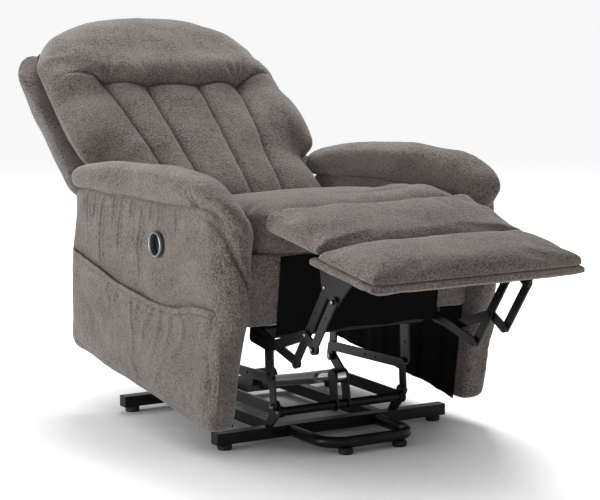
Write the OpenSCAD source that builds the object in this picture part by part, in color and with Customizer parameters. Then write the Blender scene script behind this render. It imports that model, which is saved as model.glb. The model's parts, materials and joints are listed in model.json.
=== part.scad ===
// Lift recliner chair, drawn reclined, with the footrest out and the lift part way up.
// Base pieces lie in the floor frame; carriage pieces are drawn level and then tilted.
// In both frames the front foot bar is y = 0; the file moves everything so that the
// origin is on the floor under the middle of the chair. The sitter faces -Y.

/* [Pose] */
// Forward tilt of the raised carriage in degrees
lift_tilt = 7.36; // [4:0.01:10]
// Slope of the reclined back over the carriage in degrees
back_slope = 30.5; // [25:0.5:40]

/* [Base] */
// Distance from the middle of the chair forward to the front foot bar
front_bar_y = -235; // [-300:1:-180]
// Overall length of each foot bar
bar_len = 650; // [600:1:700]
// Distance between the front and rear foot bars
bar_pitch = 485; // [440:1:560]
// Depth of the foot bar tube
bar_depth = 30; // [24:1:40]
// Height of the foot bar tube
bar_height = 28; // [22:1:30]
// Wall of the square tubes
tube_wall = 2; // [1.5:0.5:3]
// Height of the rubber feet
foot_h = 14; // [10:1:14]
// Distance between the left and right feet
foot_pitch = 600; // [540:1:620]
// Middle of each base side rail from the centre plane
rail_x = 142; // [120:1:150]
// Outer diameter of the front stabiliser tube
loop_tube = 28; // [20:1:28]
// Half width of the front stabiliser
loop_half = 122; // [100:1:140]
// Reach of the front stabiliser ahead of the front foot bar
loop_reach = 186; // [150:1:220]
// Corner radius of the front stabiliser
loop_corner = 58; // [30:1:80]

/* [Lift linkage] */
// Front pivot of the lower lift arms, from the front foot bar
arm_pivot = [-43, 84];
// Front pivot of the upper lift links
link_pivot = [-37, 97];
// Bend of the upper lift links
link_bend = [-31, 164];
// Rear bend of the upper lift links
link_bend_rear = [300, 153];
// Rear pivot of the upper lift links
link_end = [306, 125];
// Rear pivot of the lower lift arms
arm_end = [258, 88];
// Width of the lower lift arms
lift_arm_w = 28; // [24:1:30]
// Width of the upper lift links
lift_link_w = 24; // [20:1:25]
// Radius of the lift pivot pins
lift_pin_r = 5; // [4:0.5:5]
// Top of the lift crank where the lift actuator pushes
crank_pin = [-31, 153];
// Rear pivot of the lift actuator
lift_motor_pivot = [440, 47];

/* [Carriage] */
// Middle of the front cross tube: distance behind the front foot bar and height
front_tube = [4.8, 279.7];
// Middle of the rear cross tube
rear_tube = [330, 279.7];
// Side of the square cross tubes
cross_tube = 25; // [20:1:28]
// Front top corner of the seat frame
seat_corner = [-50, 484];
// Slope of the seat down towards the back in degrees
seat_slope = 12; // [8:0.5:14]
// Depth of the seat frame
seat_depth = 500; // [480:1:520]
// Height of the seat frame beams
beam_h = 34; // [30:1:45]
// Thickness of the seat frame beams
beam_t = 24; // [18:1:30]
// Height of the seat cushion at its front
seat_h = 112; // [95:1:118]
// Half width of the seat cushion and the footrest
seat_half = 289; // [270:1:290]

/* [Arms] */
// Outer face of the arms from the centre plane
arm_outer = 395; // [380:1:405]
// Inner face of the arms from the centre plane
arm_inner = 318; // [316:1:330]
// Lower edge of the arms over the tilted floor line
arm_bottom = 71; // [66:1:80]
// Gap inside the side pocket
pocket_gap = 6; // [5:0.5:8]
// Wall of the side pocket
pocket_wall = 3; // [2:0.5:4]

/* [Back] */
// Hinge of the back: distance behind the front foot bar and height
back_hinge = [555, 400];
// Length of the back from its hinge to the top of the headrest
back_len = 742; // [680:1:780]
// Half width of the back between the arms
back_low_half = 284; // [270:1:286]
// Half width of the back above the arms
back_high_half = 350; // [320:1:356]
// Distance up the back where it widens over the arms
wing_start = 200; // [199:1:240]
// Height of the headrest seam up the back
head_seam = 452; // [420:1:480]
// Face of the back cushion in front of the hinge
back_face = 60; // [50:1:66]
// Face of the outer back behind the hinge
shell_face = 108; // [95:1:115]
// Lower lever of the back where the recline actuator pulls
back_lever = 80; // [70:1:85]

/* [Footrest] */
// Pivot of the footrest drive links on the seat plates
drive_pivot = [-30, 400];
// Pivot on the drive links that carries the rear bars
bar_mid = [-258, 357];
// Front end pivot of the drive links
drive_end = [-308, 338];
// Lower end pivot of the rear bars
bar_low = [-215, 276];
// Upper end pivot of the rear bars
bar_top = [-328, 488];
// Width of the footrest links
foot_link_w = 24; // [20:1:26]
// Thickness of the footrest links
link_t = 5; // [4:0.5:5]
// Inner face of the innermost footrest link from the centre plane
link_x = 243; // [242:0.5:246]
// Clearance between footrest links side by side
link_gap = 2; // [1.5:0.5:2]
// Radius of the footrest pivot pins
foot_pin_r = 4; // [3:0.5:5]
// Rear edge of the footrest board
board_rear = -293; // [-305:1:-285]
// Front edge of the footrest
foot_front = -554; // [-580:1:-530]
// Underside of the footrest board
board_z = 526; // [520:1:530]
// Thickness of the footrest board
board_t = 25; // [18:1:26]
// Crease between the leg flap and the footrest
crease = -318; // [-325:1:-312]

/* [Controls] */
// Middle of the control panel: distance behind the front foot bar and height
panel = [207, 460];
// Radius of the control panel ring
panel_r = 29; // [25:0.5:32]
// Radius of a push button
button_r = 7; // [5:0.5:8]
// Travel of a push button
button_travel = 1.5; // [1:0.1:2]

/* [Hidden] */
$fn = 48;
beam_y = 3.2;
run_clear = 0.08;
head_gap = 0.4;
soft_gap = 0.5;
touch = 0.02;

// Plane of each layer of the lift linkage, inner face from the centre plane
lift_arm_x = 166;
lift_arm_t = 7;
riser_x = 175;
riser_t = 5.5;
upper_link_x = 183;
upper_link_t = 6;
hanger_x = 191;
hanger_t = 6;

bar_z = foot_h;
bar_top_z = foot_h + bar_height;
rail_w = 25;
tube_top = front_tube[1] + cross_tube / 2;
tube_bottom = front_tube[1] - cross_tube / 2;

// Layers of the footrest linkage, inner faces: idler, rear bar, drive link, front bar
function layer(i) = link_x + i * (link_t + link_gap);
idler_pivot = drive_pivot + bar_low - bar_mid;
bar_top_front = bar_top + drive_end - bar_mid;
plate_x = link_x - link_gap - link_t;

function turn(p, a) = [p[0] * cos(a) - p[1] * sin(a), p[0] * sin(a) + p[1] * cos(a)];
// A floor frame point as seen in the level carriage frame
function level(p) = turn(p, -lift_tilt);
// A carriage point as seen in the sloping seat frame
function in_seat(p) = turn(p - seat_corner, seat_slope);
// A point of the back's own plane as seen in the carriage frame
function from_back(p) = back_hinge + turn(p, back_slope);

module on_floor() translate([0, front_bar_y, 0]) children();
module carried() on_floor() rotate([lift_tilt, 0, 0]) children();
module on_seat() carried() translate([0, seat_corner[0], seat_corner[1]])
    rotate([-seat_slope, 0, 0]) children();
module on_back() carried() translate([0, back_hinge[0], back_hinge[1]])
    rotate([back_slope, 0, 0]) children();
module both_sides() { children(); mirror([1, 0, 0]) children(); }

// Sheet of thickness t whose outline lies in the side plane, starting at x
module side_sheet(x, t) translate([x, 0, 0]) rotate([90, 0, 90]) linear_extrude(t) children();
// Round bar along X
module cross_pin(x0, x1, p, r) translate([x0, p[0], p[1]]) rotate([0, 90, 0])
    cylinder(h = x1 - x0, r = r);
// Outline of a flat link that runs through the given points
module link_outline(pts, w) {
    for (p = pts) translate(p) circle(r = w / 2);
    for (i = [0:len(pts) - 2]) let (d = pts[i + 1] - pts[i])
        translate(pts[i]) rotate(atan2(d[1], d[0])) translate([0, 0.1 - w / 2])
            square([norm(d), w - 0.2]);
}
module box(lo, hi) translate(lo) cube(hi - lo);
// Square tube along X, open at its ends
module tube_x(x0, x1, y, z, dy, dz, wall) difference() {
    box([x0, y - dy / 2, z], [x1, y + dy / 2, z + dz]);
    box([x0 - 1, y - dy / 2 + wall, z + wall], [x1 + 1, y + dy / 2 - wall, z + dz - wall]);
}

// ---- Base -------------------------------------------------------------------
module foot_bar(y) color("#26262a") on_floor()
    tube_x(-bar_len / 2, bar_len / 2, y, bar_z, bar_depth, bar_height, tube_wall);
module base_front_bar() foot_bar(0);
module base_rear_bar() foot_bar(bar_pitch);

module base_side_rails() color("#222226") on_floor() both_sides() difference() {
    box([rail_x - rail_w / 2, bar_depth / 2, bar_z],
        [rail_x + rail_w / 2, bar_pitch - bar_depth / 2, bar_top_z]);
    box([rail_x - rail_w / 2 + tube_wall, 0, bar_z + tube_wall],
        [rail_x + rail_w / 2 - tube_wall, bar_pitch, bar_top_z - tube_wall]);
}

cap_t = 3;
module base_end_caps() color("#4a4a4e") on_floor() both_sides() for (y = [0, bar_pitch]) {
    box([bar_len / 2, y - bar_depth / 2, bar_z],
        [bar_len / 2 + cap_t, y + bar_depth / 2, bar_top_z]);
    box([bar_len / 2 - 9, y - bar_depth / 2 + tube_wall + 0.1, bar_z + tube_wall + 0.1],
        [bar_len / 2, y + bar_depth / 2 - tube_wall - 0.1, bar_top_z - tube_wall - 0.1]);
}

foot_r = 18;
loop_foot_x = 76;
module foot() rotate_extrude() polygon([[0, 0], [foot_r - 2, 0], [foot_r, 3],
    [foot_r, foot_h - 3], [foot_r - 3, foot_h], [0, foot_h]]);
module floor_feet() color("#141416") on_floor() both_sides() {
    for (y = [0, bar_pitch]) translate([foot_pitch / 2, y, 0]) foot();
    difference() {
        translate([loop_foot_x, -loop_reach, 0]) foot();
        loop_half_shape();
    }
}

module loop_half_shape() {
    z = foot_h - 1 + loop_tube / 2;
    r = loop_tube / 2;
    translate([loop_half, -bar_depth / 2, z]) rotate([90, 0, 0])
        cylinder(h = loop_reach - loop_corner - bar_depth / 2, r = r);
    translate([loop_half - loop_corner, loop_corner - loop_reach, z])
        rotate([0, 0, -90]) rotate_extrude(angle = 90) translate([loop_corner, 0]) circle(r = r);
    cross_pin(0, loop_half - loop_corner, [-loop_reach, z], r);
}
module front_stabiliser() color("#1c1c20") on_floor() both_sides() loop_half_shape();

module riser_plates() color("#2a2a2e") on_floor() both_sides() side_sheet(riser_x, riser_t)
    difference() {
        union() {
            link_outline([arm_pivot, link_pivot], 30);
            polygon([arm_pivot + [-15, 0], [-bar_depth / 2, bar_top_z],
                [bar_depth / 2, bar_top_z], link_pivot + [15, 0]]);
        }
        translate(arm_pivot) circle(r = lift_pin_r);
        translate(link_pivot) circle(r = lift_pin_r);
    }

// Pin from x0 to x1 with a head beyond its outer or its inner end
module headed_pin(x0, x1, p, r, head_out) {
    cross_pin(x0, x1, p, r);
    cross_pin(head_out ? x1 : x0 - 3, head_out ? x1 + 3 : x0, p, r + 2.5);
}
module riser_pins() color("#b8b8bc") on_floor() both_sides() {
    headed_pin(lift_arm_x - head_gap, riser_x + riser_t, arm_pivot, lift_pin_r, false);
    headed_pin(riser_x, upper_link_x + upper_link_t + head_gap, link_pivot, lift_pin_r, true);
}

ear_t = 5;
ear_x = 17;
motor_pin_r = 5;
module lift_motor_bracket() color("#2a2a2e") on_floor() {
    both_sides() side_sheet(ear_x, ear_t) difference() {
        union() {
            link_outline([lift_motor_pivot, lift_motor_pivot + [16, 0]], 26);
            box2([lift_motor_pivot[0], lift_motor_pivot[1] - 13],
                [bar_pitch - bar_depth / 2, bar_top_z]);
        }
        translate([bar_pitch - bar_depth / 2, 0]) square(60);
    }
    cross_pin(-ear_x, ear_x, lift_motor_pivot, motor_pin_r);
}
module box2(lo, hi) translate(lo) square(hi - lo);

// ---- Lift linkage -----------------------------------------------------------
module lift_arms() color("#303034") on_floor() both_sides() side_sheet(lift_arm_x, lift_arm_t)
    difference() {
        link_outline([arm_pivot, arm_end], lift_arm_w);
        translate(arm_pivot) circle(r = lift_pin_r + run_clear);
        translate(arm_end) circle(r = lift_pin_r + run_clear);
    }
crank_tube_r = 11;
module lift_crank_tube() color("#26262a") on_floor()
    difference() {
        cross_pin(-lift_arm_x, lift_arm_x, arm_pivot, crank_tube_r);
        cross_pin(-lift_arm_x - 1, lift_arm_x + 1, arm_pivot, crank_tube_r - 2.5);
    }
crank_x = 15;
// The rod eyes stay wider than their pins, and sit where their play is even over the travel
rod_eye_r = 9;
lift_eye = crank_pin + [-0.2, -1.2];
module lift_crank() color("#303034") on_floor() {
    both_sides() side_sheet(crank_x, 5) difference() {
        link_outline([arm_pivot, crank_pin], 32);
        translate(arm_pivot) circle(r = crank_tube_r + run_clear);
    }
    cross_pin(-crank_x, crank_x, crank_pin, motor_pin_r);
}
module upper_lift_links() color("#38383c") on_floor() both_sides()
    side_sheet(upper_link_x, upper_link_t) difference() {
        link_outline([link_pivot, link_bend, link_bend_rear, link_end], lift_link_w);
        translate(link_pivot) circle(r = lift_pin_r + run_clear);
        translate(link_end) circle(r = lift_pin_r + 1);
        for (t = [0.35, 0.5]) translate(link_bend * (1 - t) + link_bend_rear * t) circle(r = 3.5);
    }

// ---- Carriage ---------------------------------------------------------------
hanger_w = 30;
module lift_hangers() color("#303034") carried() both_sides() side_sheet(hanger_x, hanger_t)
    difference() {
        link_outline([level(arm_end), level(link_end), [rear_tube[0], tube_bottom]], hanger_w);
        translate([0, tube_bottom]) square([600, 60]);
        translate(level(arm_end)) circle(r = lift_pin_r);
        translate(level(link_end)) circle(r = lift_pin_r);
    }
module hanger_pins() color("#b8b8bc") on_floor() both_sides() {
    headed_pin(lift_arm_x - head_gap, hanger_x + hanger_t, arm_end, lift_pin_r, false);
    cross_pin(lift_arm_x + lift_arm_t + head_gap, hanger_x, arm_end, lift_pin_r + 2.5);
    headed_pin(upper_link_x - head_gap, hanger_x + hanger_t, link_end, lift_pin_r, false);
}
post_w = 34;
post_foot = [-33, 178];
module front_posts() color("#38383c") carried() both_sides() side_sheet(hanger_x, hanger_t)
    difference() {
        link_outline([level(post_foot), [front_tube[0], tube_bottom]], post_w);
        translate([-200, tube_bottom]) square([600, 60]);
        translate(level(post_foot)) circle(r = 5);
        translate(level(post_foot) + [2, 40]) circle(r = 4);
    }
module carriage_tube(p) color("#222226") carried()
    tube_x(-plate_x - 4, plate_x + 4, p[0], p[1] - cross_tube / 2, cross_tube, cross_tube, tube_wall);
module front_cross_tube() carriage_tube(front_tube);
module rear_cross_tube() carriage_tube(rear_tube);

// Steel plates that stand on the cross tubes and carry the seat and the footrest links
module seat_side_plates() color("#2a2a2e") carried() both_sides() {
    front = seat_corner + turn([beam_y, -beam_h], -seat_slope);
    rear = seat_corner + turn([seat_depth, -beam_h], -seat_slope);
    side_sheet(plate_x, link_t) difference() {
        polygon([front, rear, [rear[0], tube_top + 8], [rear[0] - 8, tube_top],
            [front[0] + 18, tube_top], [front[0], tube_top + 18]]);
        translate(drive_pivot) circle(r = torque_r + run_clear);
        translate(idler_pivot) circle(r = foot_pin_r);
        for (x = [110, 220, 390]) translate([x, tube_top + 34]) circle(r = 12);
    }
    headed_pin(plate_x, layer(0) + link_t + head_gap, idler_pivot, foot_pin_r, true);
}

module seat_cross_beams() color("#b39b78") on_seat() for (y = [beam_y, seat_depth - beam_t])
    box([-arm_inner, y, -beam_h], [arm_inner, y + beam_t, 0]);
module seat_side_beams() color("#b39b78") on_seat() both_sides()
    box([262, beam_y + beam_t, -beam_h], [262 + beam_t, seat_depth - beam_t, 0]);
spring_wire = 3;
module seat_springs() color("#8c8c90") on_seat() {
    pitch = 27;
    swing = 17;
    n = 16;
    y0 = beam_y + beam_t + 2;
    for (x = [-200:100:200]) translate([x, 0, -8]) linear_extrude(spring_wire)
        link_outline(concat([[0, y0 - 2 + spring_wire / 2]],
            [for (i = [0:n]) [(i % 2 == 0 ? -swing : swing), y0 + 8 + i * pitch]],
            [[0, seat_depth - beam_t - spring_wire / 2]]), spring_wire);
}

// ---- Soft solids ------------------------------------------------------------
// Closed skin through rings of points; every ring has the same number of points
function mean(ps) = [for (k = [0:2]) ([for (p = ps) 1] * [for (p = ps) p[k]]) / len(ps)];
module loft(rings) {
    n = len(rings[0]);
    m = len(rings);
    pts = concat([for (r = rings) each r], [mean(rings[0]), mean(rings[m - 1])]);
    sides = [for (i = [0:m - 2]) for (j = [0:n - 1]) let (a = i * n + j, b = i * n + (j + 1) % n)
        each [[a, b, b + n], [a, b + n, a + n]]];
    caps = [for (j = [0:n - 1]) let (k = (j + 1) % n, e = (m - 1) * n)
        each [[m * n, k, j], [m * n + 1, e + j, e + k]]];
    polyhedron(points = pts, faces = concat(sides, caps));
}
// 0 at both ends and 1 between them, with the flatness p
function plump(t, p) = pow(max(0, 1 - pow(abs(2 * t - 1), p)), 0.5);
function groove(d, w) = exp(-pow(d / w, 2));
// Flat underside that only turns up close to its edges, at v along and f across
function flat_under(v, f) = max(0.3, plump(v, 20)) * pow(max(0, 1 - pow(abs(f), 20)), 0.4);
// Positions 0 to 1 that crowd towards both ends
function eased(m) = [for (i = [0:m]) (1 - cos(180 * i / m)) / 2];
// Fractions of the half width where a cushion's upper face has points
function spread(n) = [for (i = [0:n]) sin(90 * (2 * i / n - 1))];

seat_front = -47;
seat_back = 515;
module seat_cushion() color("#6b625c") on_seat() {
    n = 18;
    mid = 48;
    loft([for (v = eased(16)) let (
        s = max(0.3, plump(v, 7)), y = seat_front + (seat_back - seat_front) * v,
        a = seat_half - 7 * sin(180 * v) - 6 * (1 - s))
        concat(
            [for (f = spread(n)) [a * f, y, mid + s * (seat_h - mid) * pow(max(0, 1 - pow(abs(f), 7)), 0.4)
                + 12 * cos(90 * f) * sin(180 * v)]],
            [for (i = [n - 1:-1:1]) let (f = spread(n)[i])
                [a * f, y, mid - (mid - soft_gap) * flat_under(v, f)]])]);
}

module front_apron() color("#6b625c") carried()
    box([-arm_inner + soft_gap, -75, 322], [arm_inner - soft_gap, -55.4, 484]);

module front_curtain() color("#141414") carried() box([-226, -77.5, 300], [226, -75.4, 488]);

arm_front = [[-86, arm_bottom], [-92, 148], [-93, 195], [-98, 236], [-112, 310], [-128, 364],
    [-124, 422], [-112, 464], [-92, 520], [-84, 560]];
arm_rear = [[500, 505], [560, 486], [684, 470], [687, 333], [674, 135], [668, arm_bottom]];
pad_seam = [[-84, 560], [-60, 574], [60, 576], [211, 550], [403, 526], [500, 505]];
module arm_panel() side_sheet(arm_inner, arm_outer - arm_inner)
    polygon(concat(arm_front, [for (i = [1:4]) pad_seam[i]], arm_rear));
module left_arm() color("#6b625c") carried() arm_panel();
module right_arm() color("#6b625c") carried() difference() {
    mirror([1, 0, 0]) arm_panel();
    cross_pin(-arm_outer - 1, -arm_outer + 14, panel, panel_r - 4);
}

// Top line of the padded arm, from the front round to its drop at the rear
pad_line = [[-131, 560], [-134, 604], [-108, 634], [-56, 658], [16, 672], [88, 667], [234, 644],
    [390, 618], [553, 581], [637, 557], [693, 524], [736, 488]];
pad_root = concat([[-126, 545], [-104, 558], pad_seam[0] + [0, 3], pad_seam[1], [16, 575.4]],
    [for (i = [2:5]) pad_seam[i]], [arm_rear[1] + [0, 3], [640, 476], [700, 470]]);
pad_wide = [0.42, 0.7, 0.86, 0.96, 1, 1, 1, 1, 1, 0.97, 0.86, 0.6];
pad_in = 302;
pad_out = 399;
module arm_pad() loft([for (i = [0:len(pad_line) - 1]) let (
    lo = pad_root[i] + [0, soft_gap], hi = pad_line[i], xm = (pad_in + pad_out) / 2,
    a = (pad_out - pad_in) / 2 * pad_wide[i])
    [for (k = [0:17]) let (t = 360 * k / 18, c = cos(t), s = sin(t),
        f = sign(c) * pow(abs(c), 0.55), h = 0.5 + 0.5 * sign(s) * pow(abs(s), 0.7))
        [xm + a * f, lo[0] + (hi[0] - lo[0]) * h, lo[1] + (hi[1] - lo[1]) * h]]]);
module left_arm_pad() color("#6f665f") carried() arm_pad();
module right_arm_pad() color("#6f665f") carried() mirror([1, 0, 0]) arm_pad();

pocket_top = [[150, 324], [275, 315], [497, 323], [676, 332]];
pocket_low = 118;
module pocket_outline(inset, over) polygon(concat(
    [[150 + inset, pocket_low + inset]],
    [for (p = pocket_top) [min(max(p[0], 150 + inset), 676 - inset), p[1] + over]],
    [[676 - inset, pocket_low + inset]]));
module side_pocket() color("#746b65") carried() mirror([1, 0, 0]) difference() {
    side_sheet(arm_outer, pocket_gap + pocket_wall) pocket_outline(0, 0);
    side_sheet(arm_outer - 1, pocket_gap + 1) pocket_outline(12, 10);
}

// Control panel set in the button-side arm, with two push buttons
dish_t = 6;
button_y = 11;
module control_panel() color("#9a9a9e") carried() mirror([1, 0, 0]) difference() {
    union() {
        cross_pin(arm_outer, arm_outer + 3, panel, panel_r);
        cross_pin(arm_outer - 12, arm_outer, panel, panel_r - 4.1);
    }
    cross_pin(arm_outer - 3, arm_outer + 4, panel, panel_r - 5);
    for (s = [-1, 1]) cross_pin(arm_outer - 9.5, arm_outer + 1, panel + [0, s * button_y],
        button_r + 0.25);
}
module button_at(s) color("#1a1a1c") carried() mirror([1, 0, 0])
    cross_pin(arm_outer - 7.5, arm_outer - 1, panel + [0, s * button_y], button_r);
module up_button() button_at(1);
module down_button() button_at(-1);

box_len = 150;
module control_box() color("#1e1e20") carried() difference() {
    box([-box_len / 2, rear_tube[0] + cross_tube / 2, tube_bottom - 30],
        [box_len / 2, rear_tube[0] + cross_tube / 2 + 70, tube_top - 4]);
    inlet_hole(0);
}
module inlet_hole(c) translate([50, rear_tube[0] + cross_tube / 2 + 71, tube_bottom - 12])
    rotate([90, 0, 0]) cylinder(h = 15 + c, r = 7 - c);
module power_inlet() color("#0e0e10") carried() difference() {
    translate([50, rear_tube[0] + cross_tube / 2 + 74, tube_bottom - 12])
        rotate([90, 0, 0]) cylinder(h = 15, r = 6.9);
    translate([50, rear_tube[0] + cross_tube / 2 + 75, tube_bottom - 12])
        rotate([90, 0, 0]) cylinder(h = 11, r = 3);
}

// ---- Back -------------------------------------------------------------------
hinge_plate_x = 303;
hinge_plate_t = 5;
bracket_x = 295.5;
bracket_t = 5;
module back_hinge_plates() color("#2a2a2e") on_seat() both_sides() {
    hinge = in_seat(back_hinge);
    side_sheet(hinge_plate_x, hinge_plate_t) difference() {
        link_outline([[seat_depth + 4, -beam_h / 2], hinge], 34);
        translate([0, -100]) square([seat_depth, 300]);
        translate(hinge) circle(r = lift_pin_r);
    }
    headed_pin(bracket_x - head_gap, hinge_plate_x + hinge_plate_t, hinge, lift_pin_r, false);
}
upright_x = 274;
upright_w = 22;
frame_low = -20;
frame_high = 2;
frame_u0 = -15;
frame_top = back_len - 62;
// Lower edges of the cross members up the back, with webbing straps between them
rungs = [22, (wing_start + frame_top) / 2, frame_top - upright_w];
strap_w = 40;
module back_frame() color("#222226") on_back() {
    both_sides() box([upright_x, 22, frame_low], [bracket_x, frame_top, frame_high]);
    for (u = rungs) box([-upright_x, u, frame_low], [upright_x, u + upright_w, frame_high]);
}
module back_brackets() color("#303034") on_back() both_sides() side_sheet(bracket_x, bracket_t)
    difference() {
        link_outline([[0, 0], [40, -8], [150, -8]], 26);
        circle(r = lift_pin_r + run_clear);
    }
module back_straps() color("#3a3a3c") on_back()
    for (i = [0, 1]) for (k = [0.5:1:2.5]) let (lo = rungs[i] + upright_w,
        u = lo + (rungs[i + 1] - lo) * k / 3 - strap_w / 2)
        box([-upright_x, u, -2], [upright_x, u + strap_w, 0]);
lever_x = 15;
lever_dir = turn([0, -back_lever], -6 - back_slope);
module back_lever_plates() color("#303034") on_back() {
    both_sides() side_sheet(lever_x, 5) difference() {
        link_outline([lever_dir, [33, frame_low - 8]], 26);
        translate([22, frame_low]) square([60, 60]);
    }
    cross_pin(-lever_x, lever_x, lever_dir, motor_pin_r);
}

// Half width of the back at height u: narrow between the arms, wide above them
function back_half(u) = back_low_half + (back_high_half - back_low_half)
    * min(1, max(0, (u - wing_start) / 26));
// Seams that bound the three middle channels lean outwards towards the top
function seam_out(u) = 150 + 50 * u / head_seam;
function seam_in(u) = 56 + 21 * u / head_seam;
function seam_marks(u, a) = let (p = seam_in(u), q = seam_out(u), w = 11)
    [-a, -a + 3, -a + 14, -(a + q) / 2, -q - w, -q, -q + w, -(p + q) / 2, -p - w, -p, -p + w, 0,
     p - w, p, p + w, (p + q) / 2, q - w, q, q + w, (a + q) / 2, a - 14, a - 3, a];
cushion_low = frame_high + soft_gap;
module back_cushion() color("#655c56") on_back() {
    top = head_seam - 4;
    loft([for (v = eased(15)) let (
        u = -10 + (top + 10) * v, s = max(0.25, plump(v, 6)), a = back_half(u) - 4 * sin(180 * v),
        xs = seam_marks(u, a), nx = len(xs))
        concat(
            [for (x = xs) let (e = pow(max(0, 1 - pow(abs(x / a), 16)), 0.4),
                    bolster = 8 * min(1, max(0, (abs(x) - seam_out(u)) / 40)))
                [x, u, cushion_low + 10 + s * e * (back_face - 12 - cushion_low + bolster
                    + 9 * cos(80 * x / a)
                    - 9 * (groove(abs(x) - seam_in(u), 9) + groove(abs(x) - seam_out(u), 9)))]],
            [for (i = [nx - 2:-1:1]) [xs[i] * 0.99, u, cushion_low + 10 * (1 - s)]])]);
}
module headrest() color("#6b625c") on_back() {
    n = 18;
    loft([for (v = eased(14)) let (
        u = head_seam + (back_len - head_seam) * v, s = max(0.28, plump(v, 3.6)),
        a = back_high_half - 130 * pow(max(0, v - 0.4) / 0.6, 2.2))
        concat(
            [for (f = spread(n)) [a * f, u + 10 * v * cos(90 * f), cushion_low + 14
                + s * (back_face + 12 - cushion_low) * pow(max(0, 1 - pow(abs(f), 8)), 0.4)]],
            [for (i = [n - 1:-1:1]) [a * spread(n)[i] * 0.98, u,
                u > frame_top + 20 ? frame_low + 8 : cushion_low]])]);
}
shell_start = 58;
module outer_back() color("#5d554f") on_back() {
    n = 14;
    top = frame_low - soft_gap;
    loft([for (v = eased(12)) let (
        u = shell_start + (back_len - 44 - shell_start) * v, s = max(0.3, plump(v, 6)),
        a = back_half(u) + 5 + 7 * v - 60 * pow(max(0, v - 0.85) / 0.15, 2))
        concat(
            [for (f = spread(n)) [a * f, u, top]],
            [for (i = [n - 1:-1:1]) let (f = spread(n)[i])
                [a * f, u, top - s * (shell_face + top - (u > 500 ? (u - 500) * 0.16 : 0))
                    * pow(max(0, 1 - pow(abs(f), 9)), 0.4)]])]);
}

// ---- Actuators --------------------------------------------------------------
// Each actuator lies along +Y from its rear pivot, turned to its line
module along(p, q) let (d = q - p) translate([0, p[0], p[1]]) rotate([atan2(d[1], d[0]), 0, 0]) children();
motor_len = 128;
tube_end = 330;
motor_r = 24;
act_tube_r = 15;
act_rod_r = 9;
module lengthwise(y0, y1, r) translate([0, y1, 0]) rotate([90, 0, 0]) cylinder(h = y1 - y0, r = r);
module motor_block(lift) difference() {
    union() {
        box([-14, -12, -12], [14, 20, 12]);
        box([-22, 16, -22], [22, motor_len, 22]);
        translate([0, motor_len - 26, lift]) rotate([0, 90, 0]) cylinder(h = 74, r = 22, center = true);
    }
    cross_pin(-30, 30, [0, 0], motor_pin_r + run_clear);
}
module ram_tube(end) difference() {
    lengthwise(motor_len, end, act_tube_r);
    lengthwise(motor_len + 6, end + 1, act_rod_r + run_clear);
}
module ram_rod(len, tube) difference() {
    union() {
        lengthwise(motor_len + 90, len - 10, act_rod_r);
        cross_pin(-12, 12, [len, 0], 17);
        lengthwise(len - 30, len - 8, 11);
    }
    cross_pin(-20, 20, [len, 0], rod_eye_r);
}
lift_line = norm(lift_eye - lift_motor_pivot);
module lift_motor() color("#2c2c30") on_floor() along(lift_motor_pivot, lift_eye) motor_block(-14);
module lift_tube() color("#8e8e92") on_floor() along(lift_motor_pivot, lift_eye) ram_tube(tube_end + 60);
module lift_rod() color("#b0b0b4") on_floor() along(lift_motor_pivot, lift_eye) ram_rod(lift_line, 0);

recline_pivot = [60, 322];
recline_end = from_back(lever_dir) + [1.1, -2.9];
recline_line = norm(recline_end - recline_pivot);
module recline_motor_bracket() color("#2a2a2e") carried() {
    both_sides() side_sheet(ear_x, ear_t) difference() {
        polygon([[front_tube[0] - 12, tube_top], [front_tube[0] + 12, tube_top],
            recline_pivot + [6, -12], recline_pivot + [12, 0], recline_pivot + [0, 12],
            recline_pivot + [-20, 8]]);
        translate(recline_pivot) circle(r = motor_pin_r);
    }
    cross_pin(-ear_x - ear_t, ear_x + ear_t, recline_pivot, motor_pin_r);
}
module recline_motor() color("#2c2c30") carried() along(recline_pivot, recline_end) motor_block(14);
module recline_tube() color("#8e8e92") carried() along(recline_pivot, recline_end)
    ram_tube(tube_end - 20);
module recline_rod() color("#b0b0b4") carried() along(recline_pivot, recline_end)
    ram_rod(recline_line, 0);

// ---- Footrest ---------------------------------------------------------------
torque_r = 12;
module footrest_torque_tube() color("#26262a") carried() difference() {
    cross_pin(-layer(2), layer(2), drive_pivot, torque_r);
    cross_pin(-layer(2) - 1, layer(2) + 1, drive_pivot, torque_r - 2.5);
}
module footrest_drive_links() color("#303034") carried() both_sides() {
    side_sheet(layer(2), link_t) difference() {
        link_outline([drive_pivot, [-30, 285], [-110, 285], bar_mid, drive_end], foot_link_w);
        translate(bar_mid) circle(r = foot_pin_r);
        translate(drive_end) circle(r = foot_pin_r);
    }
    headed_pin(layer(1) - head_gap, layer(2) + link_t, bar_mid, foot_pin_r, false);
    headed_pin(layer(2), layer(3) + link_t + head_gap, drive_end, foot_pin_r, true);
}
module footrest_idler_links() color("#303034") carried() both_sides() {
    side_sheet(layer(0), link_t) difference() {
        link_outline([idler_pivot, [-40, 298], bar_low], foot_link_w - 2);
        translate(idler_pivot) circle(r = foot_pin_r + run_clear);
        translate(bar_low) circle(r = foot_pin_r);
    }
    headed_pin(layer(0), layer(1) + link_t + head_gap, bar_low, foot_pin_r, true);
}
module flat_bar(i, pts, bores) side_sheet(layer(i), link_t) difference() {
    link_outline(pts, foot_link_w);
    for (p = bores) translate(p) circle(r = foot_pin_r + run_clear);
    translate((pts[0] + 2 * pts[len(pts) - 1]) / 3) circle(r = 3);
}
module footrest_rear_bars() color("#38383c") carried() both_sides()
    flat_bar(1, [bar_low, bar_top], [bar_low, bar_mid, bar_top]);
module footrest_front_bars() color("#38383c") carried() both_sides()
    flat_bar(3, [drive_end, bar_top_front], [drive_end, bar_top_front]);
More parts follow.
